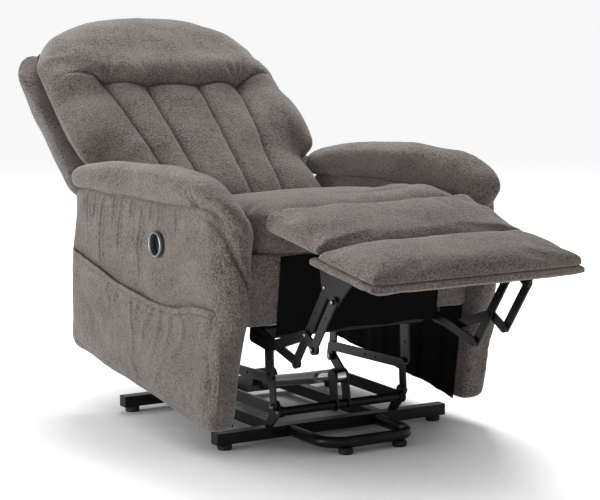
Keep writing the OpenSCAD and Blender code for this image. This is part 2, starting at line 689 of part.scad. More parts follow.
module footrest_brackets() color("#2a2a2e") carried() both_sides() {
    side_sheet(layer(2), link_t) difference() {
        union() {
            link_outline([bar_top, bar_top_front], foot_link_w);
            polygon([bar_top + [12, 0], [bar_top[0] + 24, board_z], [bar_top_front[0] - 60, board_z],
                bar_top_front + [-12, 0]]);
        }
        translate([-800, board_z]) square([800, 60]);
        translate(bar_top) circle(r = foot_pin_r);
        translate(bar_top_front) circle(r = foot_pin_r);
    }
    headed_pin(layer(1) - head_gap, layer(2) + link_t, bar_top, foot_pin_r, false);
    headed_pin(layer(2), layer(3) + link_t + head_gap, bar_top_front, foot_pin_r, true);
}
module footrest_board() color("#5f5751") carried()
    box([-seat_half + 2, foot_front + 8, board_z], [seat_half - 2, board_rear, board_z + board_t]);
foot_top = 597;
module footrest_cushion() color("#6b625c") carried() {
    n = 18;
    lo = board_z + board_t + soft_gap;
    mid = lo + 14;
    loft([for (v = eased(12)) let (
        y = foot_front + (crease - soft_gap - foot_front) * v, s = max(0.3, plump(v, 8)),
        a = seat_half - 4 * sin(180 * v))
        concat(
            [for (f = spread(n))
                [a * f, y, mid + s * (foot_top - mid) * pow(max(0, 1 - pow(abs(f), 12)), 0.4)]],
            [for (i = [n - 1:-1:1]) let (f = spread(n)[i])
                [a * f, y, mid - (mid - lo) * flat_under(v, f)]])]);
}
flap_rear = drive_pivot[0] + bar_top[0] - bar_mid[0] - 4;
flap_low = 557;
flap_top = [604, 588];
module leg_flap() color("#6b625c") carried() {
    n = 16;
    mid = flap_low + 14;
    loft([for (v = eased(10)) let (
        y = crease + soft_gap + (flap_rear - crease - soft_gap) * v, s = max(0.3, plump(v, 8)),
        top = flap_top[1] + (flap_top[0] - flap_top[1]) * v, a = seat_half - 5 * sin(180 * v) - 1)
        concat(
            [for (f = spread(n)) [a * f, y, mid + s * (top - mid) * pow(max(0, 1 - pow(abs(f), 6)), 0.4)]],
            [for (i = [n - 1:-1:1]) let (f = spread(n)[i])
                [a * f, y, mid - (mid - flap_low) * flat_under(v, f)]])]);
}

base_front_bar();
base_rear_bar();
base_side_rails();
base_end_caps();
floor_feet();
front_stabiliser();
riser_plates();
riser_pins();
lift_motor_bracket();
lift_arms();
lift_crank_tube();
lift_crank();
upper_lift_links();
lift_hangers();
hanger_pins();
front_posts();
front_cross_tube();
rear_cross_tube();
seat_side_plates();
seat_cross_beams();
seat_side_beams();
seat_springs();
seat_cushion();
front_apron();
front_curtain();
right_arm();
left_arm();
right_arm_pad();
left_arm_pad();
side_pocket();
control_panel();
up_button();
down_button();
control_box();
power_inlet();
back_hinge_plates();
recline_motor_bracket();
recline_motor();
recline_tube();
recline_rod();
lift_motor();
lift_tube();
lift_rod();
back_frame();
back_brackets();
back_straps();
back_lever_plates();
back_cushion();
headrest();
outer_back();
footrest_torque_tube();
footrest_drive_links();
footrest_idler_links();
footrest_rear_bars();
footrest_front_bars();
footrest_brackets();
footrest_board();
footrest_cushion();
leg_flap();
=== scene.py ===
"""Soft goods, finishes and light of a powered lift recliner chair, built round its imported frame.

Each assembly is drawn in millimetres in its own flat station of the chair and becomes
metres in the shared frame when its mesh is made. The sitter faces -Y.
"""

import json
import logging
import math
from collections.abc import Callable, Sequence
from dataclasses import dataclass, field
from enum import Enum

import bpy
import numpy as np
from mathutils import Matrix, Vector

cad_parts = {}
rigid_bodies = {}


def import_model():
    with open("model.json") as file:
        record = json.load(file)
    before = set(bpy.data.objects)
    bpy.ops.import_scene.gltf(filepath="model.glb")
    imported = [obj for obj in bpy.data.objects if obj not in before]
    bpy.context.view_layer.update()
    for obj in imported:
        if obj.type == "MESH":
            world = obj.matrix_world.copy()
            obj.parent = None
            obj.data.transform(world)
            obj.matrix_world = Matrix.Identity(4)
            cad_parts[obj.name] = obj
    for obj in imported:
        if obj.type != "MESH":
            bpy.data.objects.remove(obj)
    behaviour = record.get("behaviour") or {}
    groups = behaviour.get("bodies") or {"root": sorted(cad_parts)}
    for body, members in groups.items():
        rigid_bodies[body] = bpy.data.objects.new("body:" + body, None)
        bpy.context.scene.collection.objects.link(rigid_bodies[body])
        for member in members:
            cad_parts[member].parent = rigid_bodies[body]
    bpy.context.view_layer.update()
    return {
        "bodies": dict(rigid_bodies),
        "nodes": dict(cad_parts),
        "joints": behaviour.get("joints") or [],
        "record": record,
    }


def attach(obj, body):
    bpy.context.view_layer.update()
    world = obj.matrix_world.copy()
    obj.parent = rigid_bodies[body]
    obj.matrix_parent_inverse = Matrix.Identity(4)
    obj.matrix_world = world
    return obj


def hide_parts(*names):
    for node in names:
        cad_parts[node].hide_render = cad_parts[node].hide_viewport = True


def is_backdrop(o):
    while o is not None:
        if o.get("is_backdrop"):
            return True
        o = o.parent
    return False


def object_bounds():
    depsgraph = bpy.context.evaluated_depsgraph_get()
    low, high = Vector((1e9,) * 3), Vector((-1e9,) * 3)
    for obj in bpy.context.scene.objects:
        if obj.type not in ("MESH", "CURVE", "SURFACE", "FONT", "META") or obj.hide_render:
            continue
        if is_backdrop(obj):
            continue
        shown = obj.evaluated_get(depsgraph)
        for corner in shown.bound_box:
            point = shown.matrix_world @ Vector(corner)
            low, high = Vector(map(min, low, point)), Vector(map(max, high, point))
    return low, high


MM = 0.001
SIM_FRAMES = 20
XY, YZ, XZ, XYZ = (0, 1), (1, 2), (0, 2), (0, 1, 2)
log = logging.getLogger("recliner")
Array = np.ndarray
Number = Array | float
Points = Sequence[Sequence[float]]
Material = bpy.types.Material
Piece = bpy.types.Object
Socket = bpy.types.NodeSocket
Colour = tuple[float, float, float]


class Side(Enum):
    """The sitter's left and right sides, as the sign of X."""

    LEFT = 1
    RIGHT = -1


class Body(Enum):
    """Moving bodies that the new pieces ride on."""

    BASE = "base"
    CARRIAGE = "carriage"
    BACK = "back"
    FOOTREST = "footrest"
    DRIVE_LINKS = "drive_links"


# ---- Stations ---------------------------------------------------------------
@dataclass(frozen=True)
class Station:
    """A flat working frame: x across the chair, v along a sloped line, w square to it.

    y and z place its origin in the shared frame in millimetres, slope is in degrees.
    """

    y: float
    z: float
    slope: float

    def turned(self, p: Array) -> Array:
        """Directions p of this station as directions of the shared frame."""
        c, s = math.cos(math.radians(self.slope)), math.sin(math.radians(self.slope))
        return p @ np.array([[1, 0, 0], [0, c, s], [0, -s, c]])

    def metres(self, p: Array) -> Array:
        """Points p of this station, in millimetres, as metres of the shared frame."""
        return (self.turned(np.asarray(p, float)) + np.array([0, self.y, self.z])) * MM

    def local(self, p: Array, direction: bool = False) -> Array:
        """Metres of the shared frame, or directions there, back in this station."""
        q = p if direction else p / MM - np.array([0, self.y, self.z])
        return Station(0, 0, -self.slope).turned(q)

    def station(self, y: float, z: float, slope: float) -> "Station":
        """A station at y, z of this one, tilted by slope more."""
        at = self.turned(np.array([0.0, y, z])) + np.array([0, self.y, self.z])
        return Station(float(at[1]), float(at[2]), self.slope + slope)


CARRIAGE = Station(-235, 0, 7.36)
SEAT = CARRIAGE.station(-50, 484, -12)
BACK = CARRIAGE.station(555, 400, 30.5)
FLOOR = Station(-235, 0, 0)


# ---- Curves and fields ------------------------------------------------------
def spread(low: float, high: float, t: Array) -> Array:
    """Values from low to high as t goes from -1 to 1."""
    return low + (high - low) * (t + 1) / 2


def eased(x: Number, low: float, high: float) -> Array:
    """0 below low, 1 above high and a smooth step between: 3t^2 - 2t^3."""
    t = np.clip((np.asarray(x, float) - low) / (high - low), 0, 1)
    return t * t * (3 - 2 * t)


def bell(d: Array, width: float) -> Array:
    """A bump of height 1 that fades with distance d: e^-(d / width)^2."""
    return np.exp(-((d / width) ** 2))


def tapered(along: Array, end: float = 0.04, power: float = 0.6) -> Array:
    """How full a fold is at along, 0 to 1: a half sine to a power, held short of both ends."""
    return np.sin(math.pi * along.clip(end, 1 - end)) ** power


def smooth_line(points: Points, n: int) -> Array:
    """A Catmull-Rom curve through points.

    Args:
        points: what it runs through.
        n: how many points it is given as.
    Returns:
        n points, even in length.
    """
    p = np.array(points, float)
    q = np.concatenate([[2 * p[0] - p[1]], p, [2 * p[-1] - p[-2]]])
    f = np.linspace(0, 1, 12, endpoint=False)[:, None, None]
    a, b, c, d = q[:-3], q[1:-2], q[2:-1], q[3:]
    fine = 2 * b + (c - a) * f + (2 * a - 5 * b + 4 * c - d) * f**2 + (3 * b - a - 3 * c + d) * f**3
    fine = np.concatenate([0.5 * fine.transpose(1, 0, 2).reshape(-1, p.shape[1]), p[-1:]])
    run = np.concatenate([[0], np.cumsum(np.linalg.norm(np.diff(fine, axis=0), axis=1))])
    at = np.linspace(0, run[-1], n)
    return np.stack([np.interp(at, run, row) for row in fine.T], -1)


def on_line(line: Array, t: Array) -> Array:
    """Points of an evenly spaced line at fractions t from 0 to 1."""
    at = np.linspace(0, 1, len(line))
    return np.stack([np.interp(t, at, row) for row in line.T], -1)


def reach(q: Array, line: Array) -> tuple[Array, Array]:
    """How near points come to a line, taken stretch by stretch.

    Args:
        q: the points, in as many axes as the line.
        line: the line's points.
    Returns:
        Each point's distance, and how far along the line it is, 0 to 1.
    """
    best, along = np.full(q.shape[:-1], 1e9), np.zeros(q.shape[:-1])
    for k, (a, b) in enumerate(zip(line[:-1], line[1:])):
        f = np.clip((q - a) @ (b - a) / max((b - a) @ (b - a), 1e-9), 0, 1)
        r = np.linalg.norm(q - a - f[..., None] * (b - a), axis=-1)
        along = np.where(r < best, (k + f) / (len(line) - 1), along)
        best = np.minimum(r, best)
    return best, along


def ripple(p: Array, length: float, seed: int, waves: int = 14) -> Array:
    """A soft random field: the mean of sine waves in seeded directions.

    Args:
        p: the points.
        length: about how long the waves are.
        seed: settles the draw.
        waves: how many there are.
    Returns:
        The field at each point, mostly within -1 to 1.
    """
    draw = np.random.default_rng(seed)
    k = draw.normal(size=(waves, p.shape[-1]))
    turns = draw.uniform(0.7, 1.4, (waves, 1)) * 2 * math.pi / length
    k *= turns / np.linalg.norm(k, axis=1, keepdims=True)
    return np.sin(p @ k.T + draw.uniform(0, 6.28, waves)).sum(-1) / math.sqrt(waves / 2)


# ---- Grids ------------------------------------------------------------------
def quads(grid: Array) -> Array:
    """Four-sided faces between neighbours of a grid of vertex indices."""
    corners = [grid[:-1, :-1], grid[:-1, 1:], grid[1:, 1:], grid[1:, :-1]]
    return np.stack(corners, -1).reshape(-1, 4)


def open_grid(n: int, m: int, start: float = 0) -> tuple[Array, Array, Array]:
    """A grid of n by m steps: s from start to 1, t from 0 to 1, and its faces."""
    s, t = np.meshgrid(np.linspace(start, 1, n + 1), np.linspace(0, 1, m + 1))
    return s, t, quads(np.arange(s.size).reshape(s.shape))


def crowded(n: int) -> Array:
    """n + 1 values from -1 to 1 that crowd towards both ends: the sine of even angles."""
    return np.sin(np.linspace(-1, 1, n + 1) * math.pi / 2)


@dataclass(frozen=True)
class Rim:
    """How the thickness of a pad falls to nothing at its rim.

    The thickness is ((1 - |s|^across) (1 - |t|^along))^(1 / box) at s, t from -1 to 1,
    and corner rounds the plan: |s|^corner + |t|^corner stays under 1.
    """

    across: float
    along: float
    box: float
    corner: float


def pillow(n: int, m: int, rim: Rim) -> tuple[Array, Array, Array, Array]:
    """Two grids that meet at one shared rim, which make a closed pad.

    Args:
        n: steps across.
        m: steps along.
        rim: how it closes.
    Returns:
        s and t from -1 to 1, the signed thickness h from -1 below to 1 above, and the faces.
    """
    s, t = np.meshgrid(crowded(n), crowded(m))
    h = ((1 - np.abs(s) ** rim.across) * (1 - np.abs(t) ** rim.along)).clip(0) ** (1 / rim.box)
    round_size = (np.abs(s) ** rim.corner + np.abs(t) ** rim.corner) ** (1 / rim.corner)
    size = np.maximum(np.abs(s), np.abs(t)) / np.maximum(round_size, 1e-9)
    s, t = s * size, t * size
    top = np.arange(s.size).reshape(s.shape)
    low = top.copy()
    low[1:-1, 1:-1] = s.size + np.arange((n - 1) * (m - 1)).reshape(m - 1, n - 1)
    s, t, h = (np.concatenate([g.ravel(), g[1:-1, 1:-1].ravel() * k])
               for g, k in ((s, 1), (t, 1), (h, -1)))
    return s, t, h, np.concatenate([quads(top), quads(low)[:, ::-1]])


def thick(h: Array, mid: Number, top: Number, low: Number) -> Array:
    """Heights of a pad: from its rim at mid up to top as h goes to 1, and down to low at -1."""
    return np.where(h > 0, mid + (top - mid) * h, mid + (mid - low) * h)


def loft(rings: Array) -> tuple[Array, Array]:
    """A closed skin through rings of points, with a fan over each end.

    Args:
        rings: rings by points by 3, all turning the same way.
    Returns:
        Points and triangles.
    """
    m, n, _ = rings.shape
    grid = np.arange(m * n).reshape(m, n)
    grid = np.concatenate([grid, grid[:, :1]], 1)
    four = quads(grid)
    first = np.stack([np.full(n, m * n), grid[0, 1:], grid[0, :-1]], -1)
    last = np.stack([np.full(n, m * n + 1), grid[-1, :-1], grid[-1, 1:]], -1)
    points = np.concatenate([rings.reshape(-1, 3), rings[[0, -1]].mean(1)])
    return points, np.concatenate([four[:, [0, 1, 2]], four[:, [0, 2, 3]], first, last])


def lathe(profile: Array, centre: Sequence[float], n: int) -> tuple[Array, Array]:
    """A profile turned about an X axis; where it ends on the axis it is closed.

    Args:
        profile: distances along X and radii.
        centre: y and z of the axis.
        n: steps round it.
    Returns:
        Points and four-sided faces.
    """
    a = np.arange(n) * 2 * math.pi / n
    x, r = np.repeat(profile[:, :1], n, 1), profile[:, 1:]
    ring = np.stack([x, centre[0] + r * np.cos(a), centre[1] + r * np.sin(a)], -1)
    grid = np.arange(ring.shape[0] * n).reshape(-1, n)
    return ring.reshape(-1, 3), quads(np.concatenate([grid, grid[:, :1]], 1))


# ---- Pieces -----------------------------------------------------------------
def points_of(mesh: bpy.types.Mesh) -> Array:
    """Reads where a mesh's vertices are.

    Args:
        mesh: the mesh.
    Returns:
        The vertices in metres, N by 3.
    """
    co = np.empty(len(mesh.vertices) * 3, np.float32)
    mesh.vertices.foreach_get("co", co)
    return co.reshape(-1, 3).astype(float)


def put_points(mesh: bpy.types.Mesh, points: Array) -> None:
    """Moves the mesh's vertices to points in metres."""
    mesh.vertices.foreach_set("co", points.astype(np.float32).ravel())


def put_seam_shade(mesh: bpy.types.Mesh, thread: Array) -> None:
    """Keeps how dark each vertex is painted, 0 to 1, as the attribute seam: stitch lines with painted shade
    in their grooves, pleats, dimples and hems.
    """
    lines = mesh.attributes.get("seam") or mesh.attributes.new("seam", "FLOAT", "POINT")
    lines.data.foreach_set("value", thread.clip(0, 1).astype(np.float32).ravel())


def new_piece(name: str, points: Array, faces: Array, finish: Material) -> Piece:
    """A smooth mesh object at the origin.

    Args:
        name: the piece's name.
        points: vertices in metres, N by 3.
        faces: vertex indices, M by 3 or 4, facing outwards.
        finish: its material.
    Returns:
        The linked object.
    """
    mesh = bpy.data.meshes.new(name)
    count, sides = faces.shape
    mesh.vertices.add(len(points))
    put_points(mesh, points)
    mesh.loops.add(count * sides)
    mesh.loops.foreach_set("vertex_index", faces.astype(np.int32).ravel())
    mesh.polygons.add(count)
    mesh.polygons.foreach_set("loop_start", np.arange(0, count * sides, sides, dtype=np.int32))
    mesh.update(calc_edges=True)
    mesh.validate()
    mesh.shade_smooth()
    mesh.materials.append(finish)
    piece = bpy.data.objects.new(name, mesh)
    bpy.context.scene.collection.objects.link(piece)
    return piece


def mirrored(piece: Piece, name: str) -> Piece:
    """A copy on the other side of the chair, turned right side out.

    Args:
        piece: what is copied.
        name: the copy's name.
    Returns:
        The linked copy.
    """
    mesh = piece.data.copy()
    mesh.name = name
    put_points(mesh, points_of(mesh) * np.array([-1, 1, 1]))
    mesh.flip_normals()
    copy = bpy.data.objects.new(name, mesh)
    bpy.context.scene.collection.objects.link(copy)
    return copy


def add_modifier(piece: Piece, kind: str, **options: object) -> bpy.types.Modifier:
    """Adds a modifier.

    Args:
        piece: what it works on.
        kind: its type.
        options: its settings.
    Returns:
        The modifier.
    """
    modifier = piece.modifiers.new(kind.lower(), kind)
    for key, value in options.items():
        setattr(modifier, key, value)
    return modifier


def settle(piece: Piece) -> None:
    """Applies the modifiers.

    Args:
        piece: the piece, whose mesh is replaced.
    """
    seen = piece.evaluated_get(bpy.context.evaluated_depsgraph_get())
    made, old = bpy.data.meshes.new_from_object(seen), piece.data
    piece.modifiers.clear()
    piece.data = made
    bpy.data.meshes.remove(old)
    made.name = piece.name
    made.shade_smooth()


def remesh(piece: Piece, voxel: float) -> None:
    """Lays an even mesh of that many millimetres over a closed form."""
    add_modifier(piece, "REMESH", mode="VOXEL", voxel_size=voxel * MM)
    settle(piece)


def finer(piece: Piece, passes: int) -> None:
    """Smooths the skin in so many passes and subdivides it once.

    Args:
        piece: the piece.
        passes: how many, or 0.
    """
    if passes:
        add_modifier(piece, "SMOOTH", factor=0.5, iterations=passes)
    add_modifier(piece, "SUBSURF", levels=1, render_levels=1)
    settle(piece)


def thicken(piece: Piece, thickness: float) -> None:
    """Gives a sheet its thickness in millimetres, half on each side."""
    add_modifier(piece, "SOLIDIFY", thickness=thickness * MM, offset=0, use_even_offset=True)
    settle(piece)


def relax(piece: Piece, share: Array, passes: int) -> None:
    """Evens out a cover: each point moves towards the mean of its neighbours.

    Args:
        piece: the piece.
        share: how far each point goes, 0 to 1, taken in tenths.
        passes: how many times.
    """
    group = piece.vertex_groups.new(name="loose")
    for level in range(1, 11):
        group.add(np.flatnonzero(np.round(share * 10) == level).tolist(), level / 10, "REPLACE")
    add_modifier(piece, "SMOOTH", factor=0.5, iterations=passes, vertex_group="loose")
    settle(piece)
    piece.vertex_groups.clear()


@dataclass(frozen=True)
class Filling:
    """How a pad is stuffed.

    voxel is the remesh size, caps are the most that the cover may swell along x, v and w,
    and everything below held stays where it rests, all in millimetres of the station.
    """

    voxel: float
    caps: tuple[float, float, float]
    held: float
    pressure: float = 4.0
    passes: int = 3


def stuff(piece: Piece, station: Station, filling: Filling) -> None:
    """Remeshes a pad evenly, blows its cover up as cloth, and refines it.

    The swelling is limited to cap * tanh(move / cap) along each direction of the station.

    Args:
        piece: a closed form.
        station: where it is drawn.
        filling: how it is stuffed.
    """
    remesh(piece, filling.voxel)
    rest = points_of(piece.data)
    held = piece.vertex_groups.new(name="held")
    held.add(np.flatnonzero(station.local(rest)[:, 2] < filling.held).tolist(), 1.0, "ADD")
    cloth = add_modifier(piece, "CLOTH")
    cloth.settings.quality = 5
    cloth.settings.use_pressure = True
    cloth.settings.uniform_pressure_force = filling.pressure
    cloth.settings.vertex_group_mass = "held"
    cloth.settings.effector_weights.gravity = 0
    cloth.collision_settings.use_collision = False
    for number in range(1, SIM_FRAMES + 1):
        bpy.context.scene.frame_set(number)
    seen = piece.evaluated_get(bpy.context.evaluated_depsgraph_get())
    move = station.local(points_of(seen.data) - rest, direction=True) / MM
    caps = np.array(filling.caps)
    move = caps * np.tanh(move / caps)
    piece.modifiers.clear()
    put_points(piece.data, rest + station.turned(move) * MM)
    piece.vertex_groups.clear()
    bpy.context.scene.frame_set(1)
    finer(piece, filling.passes)
    log.info("%s stuffed, %d vertices", piece.name, len(piece.data.vertices))


class Skin:
    """The finished cover of a piece, on which seams are sewn and folds are pressed.

    Axes say which of x, v and w a line's points give, and a mask says where it works.
    """

    def __init__(self, piece: Piece, station: Station) -> None:
        """Reads the mesh's points, normals, and stitch lines with their painted shade.

        Args:
            piece: the piece.
            station: where it is drawn.
        """
        self.mesh, self.station = piece.data, station
        self.p = station.local(points_of(self.mesh))
        n = np.empty(len(self.p) * 3, np.float32)
        self.mesh.vertex_normals.foreach_get("vector", n)
        self.n = station.local(n.reshape(-1, 3).astype(float), direction=True)
        self.move = np.zeros(len(self.p))
        self.thread = np.zeros(len(self.p), np.float32)
        if "seam" in self.mesh.attributes:
            self.mesh.attributes["seam"].data.foreach_get("value", self.thread)

    def sew(self, points: Points, axes: Sequence[int], pulls: Points, mask: Number,
            sharp: float = 1.6) -> None:
        """Pulls a seam in by the sum of depth * exp(-d / width), with a dark stitch line and painted shade at
        its bottom.

        Args:
            points: what the seam runs through.
            axes: its axes.
            pulls: depths and widths.
            mask: where it works.
            sharp: width of the dark stitch line and its painted shade.
        """
        d, _ = reach(self.p[:, axes], smooth_line(points, 14 + 4 * len(points)))
        for depth, width in pulls:
            self.move -= depth * np.exp(-d / width) * mask
        # Painted shade: the seam's bottom is darkened along with its stitch line.
        self.thread = np.maximum(self.thread, bell(d, sharp * math.sqrt(2)) * mask)

    def fold(self, axes: Sequence[int], mask: Number, *folds: tuple[Points, float, float]) -> None:
        """Raises ridges that fade at both ends, or presses grooves.

        Args:
            axes: the axes of the points.
            mask: where they work.
            folds: the points, height, which is negative in a groove, and width of each.
        """
        for points, height, width in folds:
            d, along = reach(self.p[:, axes], smooth_line(points, 6 + 4 * len(points)))
            self.move += height * bell(d, width) * tapered(along) * mask

    def waver(self, axes: Sequence[int], mask: Number, *fields: tuple[float, float, int]) -> None:
        """Adds random fields, each given as height, wave length and seed."""
        for height, length, seed in fields:
            self.move += height * ripple(self.p[:, axes], length, seed) * mask

    def finish(self) -> None:
        """Moves the cover along its normals and keeps its stitch lines and painted shade."""
        put_points(self.mesh, self.station.metres(self.p + self.n * self.move[:, None]))
        put_seam_shade(self.mesh, self.thread)
        self.mesh.update()


# ---- Finishes ---------------------------------------------------------------
class Tree:
    """Shorthand for laying out a tree of shader nodes."""

    def __init__(self, tree: bpy.types.NodeTree) -> None:
        """Keeps the tree."""
        self.tree = tree

    def feed(self, node: bpy.types.Node, feeds: dict) -> None:
        """Fills a node's inputs.

        Args:
            node: the node.
            feeds: a value, or a socket to link, for each input.
        """
        for key, value in feeds.items():
            if isinstance(value, Socket):
                self.tree.links.new(value, node.inputs[key])
            else:
                node.inputs[key].default_value = value

    def add(self, kind: str, feeds: dict | None = None, **options: object) -> bpy.types.Node:
        """Adds a node.

        Args:
            kind: its type.
            feeds: what its inputs take.
            options: its settings.
        Returns:
            The node.
        """
        node = self.tree.nodes.new("ShaderNode" + kind)
        for key, value in options.items():
            setattr(node, key, value)
        self.feed(node, feeds or {})
        return node

    def maths(self, kind: str, a: object, b: object) -> Socket:
        """The result of a Math node."""
        return self.add("Math", {0: a, 1: b}, operation=kind).outputs[0]

    def between(self, value: object, low: float, high: float,
                to: tuple[float, float] = (0, 1)) -> Socket:
        """Value stretched from low..high to another range, and clamped there."""
        inputs = ("Value", "From Min", "From Max", "To Min", "To Max")
        return self.add("MapRange", dict(zip(inputs, (value, low, high, *to)))).outputs[0]

    def mix(self, share: object, a: object, b: object) -> Socket:
        """The colour between a and b."""
        a, b = (v if isinstance(v, Socket) else (*v, 1) for v in (a, b))
        return self.add("Mix", {0: share, 6: a, 7: b}, data_type="RGBA").outputs[2]

    def noise(self, at: object, scale: float, detail: float = 2, rough: float = 0.5) -> Socket:
        """A noise texture's value."""
        feeds = {"Vector": at, "Scale": scale, "Detail": detail, "Roughness": rough}
        return self.add("TexNoise", feeds).outputs["Fac"]

    def stretched(self, at: object, scale: tuple[float, float, float]) -> Socket:
        """Coordinates scaled along each axis."""
        return self.add("Mapping", {"Vector": at, "Scale": scale}).outputs[0]

    def bump(self, height: object, strength: float, distance: float) -> Socket:
        """A normal tilted by a height, with its distance in metres."""
        feeds = {"Strength": strength, "Distance": distance, "Height": height}
        return self.add("Bump", feeds).outputs[0]

    def grey(self, value: object) -> Socket:
        """A colour with that value in each channel."""
        return self.add("CombineColor", {0: value, 1: value, 2: value}).outputs[0]


def effect(name: str, takes: dict[str, str], gives: Sequence[str],
           draw: Callable[..., tuple[Socket, ...]]) -> bpy.types.NodeTree:
    """A shader node group with named sockets, drawn once.

    Args:
        name: the group's name.
        takes: its inputs as name: kind.
        gives: its outputs, which are all numbers.
        draw: lays it out, given the tree and the inputs' sockets, and returns the outputs'.
    Returns:
        The group.
    """
    found = bpy.data.node_groups.get(name)
    if found:
        return found
    group = bpy.data.node_groups.new(name, "ShaderNodeTree")
    for key, kind in takes.items():
        group.interface.new_socket(key, in_out="INPUT", socket_type="NodeSocket" + kind)
    for key in gives:
        group.interface.new_socket(key, in_out="OUTPUT", socket_type="NodeSocketFloat")
    start, end = group.nodes.new("NodeGroupInput"), group.nodes.new("NodeGroupOutput")
    for key, socket in zip(gives, draw(Tree(group), start.outputs)):
        group.links.new(socket, end.inputs[key])
    return group


def draw_pile(t: Tree, takes: dict[str, Socket]) -> tuple[Socket, ...]:
    """Lays out chenille: short threads along X, Y and Z, blots among them, and a brushed nap.

    Args:
        t: the group's tree.
        takes: its inputs.
    Returns:
        The height of the pile and the nap.
    """
    at = takes["Position"]
    fine = t.add("VectorMath", {0: at, "Scale": takes["Threads"]}, operation="SCALE").outputs[0]
    runs = [t.noise(t.stretched(fine, way), 1, 2, 0.6)
            for way in ((0.55, 1, 1), (1, 0.55, 1), (1, 1, 0.7))]
    thread = t.maths("MAXIMUM", t.maths("MAXIMUM", runs[0], runs[1]), runs[2])
    thread = t.maths("MULTIPLY", t.between(thread, 0.5, 0.68), 0.68)
    blot = t.between(t.noise(fine, 0.5, 2, 0.6), 0.36, 0.64)
    nap = t.between(t.noise(t.stretched(at, (1, 1, 1.6)), 8.5, 3, 0.55), 0.3, 0.7)
    return t.maths("ADD", thread, t.maths("MULTIPLY", blot, 0.32)), nap


def draw_coat(t: Tree, takes: dict[str, Socket]) -> tuple[Socket, ...]:
    """Lays out a coat: orange peel relief, rubbed streaks, and dust in soft patches.

    Args:
        t: the group's tree.
        takes: its inputs.
    Returns:
        The relief, the rub and the dust.
    """
    at = takes["Position"]
    rub = t.noise(t.stretched(at, (1, 0.35, 1)), 60, 6, 0.65)
    dust = t.noise(at, 14, 5, 0.6)
    return t.noise(at, 900), t.between(rub, 0.58, 0.74), t.between(dust, 0.45, 0.75)


def pile_effect() -> bpy.types.NodeTree:
    """The chenille pile that every upholstered piece uses."""
    takes = {"Position": "Vector", "Threads": "Float"}
    return effect("chenille_pile", takes, ("Pile", "Nap"), draw_pile)


def coat_effect() -> bpy.types.NodeTree:
    """The surface of painted, plated and moulded parts."""
    return effect("coat_and_dust", {"Position": "Vector"}, ("Relief", "Rub", "Dust"), draw_coat)


def new_material(name: str) -> tuple[Material, Tree, bpy.types.Node, Socket]:
    """An empty material with a Principled shader.

    Args:
        name: its name.
    Returns:
        The material, its tree, the shader node and the Object coordinates.
    """
    material = bpy.data.materials.new(name)
    material.use_nodes = True
    shader = next(n for n in material.node_tree.nodes if n.type == "BSDF_PRINCIPLED")
    tree = Tree(material.node_tree)
    return material, tree, shader, tree.add("TexCoord").outputs["Object"]


@dataclass(frozen=True)
class Chenille:
    """A soft pile fabric, from the shade between its threads to their tips."""

    name: str
    deep: Colour
    tip: Colour
    threads: float = 300
    nap: float = 0.34
    # How much the cloth darkens along stitch lines, with painted shade in seam grooves, pleats, the tuft
    # dimple and the pocket hem.
    seam: float = 0.62
    relief: float = 1.0
    pile_depth: float = 0.0015
    sheen: float = 0.42
    sheen_rough: float = 0.36
    sheen_tint: Colour = (0.94, 0.9, 0.86)
    gloss: float = 0.15

    def make(self) -> Material:
        """Builds pile and nap in the colour, seams darkened with painted shade, and sheen at its edges.

        Returns:
            The material.
        """
        material, t, shader, at = new_material(self.name)
        group = t.add("Group", {"Position": at, "Threads": self.threads}, node_tree=pile_effect())
        pile, nap = group.outputs
        seam = t.add("Attribute", attribute_name="seam").outputs["Fac"]
        brushed, shade = [1.25 * c for c in self.tip], [0.3 * c for c in self.deep]
        cloth = t.mix(pile, self.deep, self.tip)
        cloth = t.mix(t.maths("MULTIPLY", nap, self.nap), cloth, brushed)
        # Painted shade: the seam attribute darkens stitch lines, seam grooves, pleats, the tuft dimple and
        # the hem crease towards a third of the deep colour.
        cloth = t.mix(t.maths("MULTIPLY", seam, self.seam), cloth, shade)
        t.feed(shader, {
            "Base Color": cloth,
            "Roughness": t.between(pile, 0, 1, (0.98, 0.84)),
            "Normal": t.bump(pile, self.relief, self.pile_depth),
            "Sheen Weight": self.sheen,
            "Sheen Roughness": self.sheen_rough,
            "Sheen Tint": (*self.sheen_tint, 1),
            "Specular IOR Level": self.gloss,
        })
        return material


@dataclass(frozen=True)
class Coated:
    """Painted, plated or moulded stock: its colour, gloss, metal and how worn it is."""

    name: str
    colour: Colour
    rough: float
    metal: float = 0.0
    rub: float = 0.25
    dust: float = 0.2
    relief: float = 0.12
    gloss: float = 0.5
    worn: Colour = (0.2, 0.2, 0.2)
    dust_colour: Colour = (0.24, 0.225, 0.21)

    def make(self) -> Material:
        """Builds rubbed and dusty patches over a fine relief.

        Returns:
            The material.
        """
        material, t, shader, at = new_material(self.name)
        relief, rub, dust = t.add("Group", {"Position": at}, node_tree=coat_effect()).outputs
        dust = t.maths("MULTIPLY", dust, self.dust)
        colour = t.mix(t.maths("MULTIPLY", rub, self.rub), self.colour, self.worn)
        t.feed(shader, {
            "Base Color": t.mix(t.maths("MULTIPLY", dust, 0.3), colour, self.dust_colour),
            "Roughness": t.between(dust, 0, 1, (self.rough, min(1.0, self.rough + 0.35))),
            "Metallic": self.metal,
            "Specular IOR Level": self.gloss,
            "Normal": t.bump(relief, self.relief, 0.0004),
        })
        return material


@dataclass(frozen=True)
class Grained:
    """Planed hardwood: growth lines that run level."""

    name: str
    light: Colour
    dark: Colour

    def make(self) -> Material:
        """Builds the growth lines from stretched noise.

        Returns:
            The material.
        """
        material, t, shader, at = new_material(self.name)
        line = t.noise(t.stretched(at, (6, 6, 160)), 1.4, 6, 0.62)
        band = t.between(line, 0.35, 0.65)
        t.feed(shader, {
            "Base Color": t.mix(band, self.light, self.dark),
            "Roughness": t.between(band, 0, 1, (0.62, 0.8)),
            "Normal": t.bump(line, 0.2, 0.0005),
        })
        return material


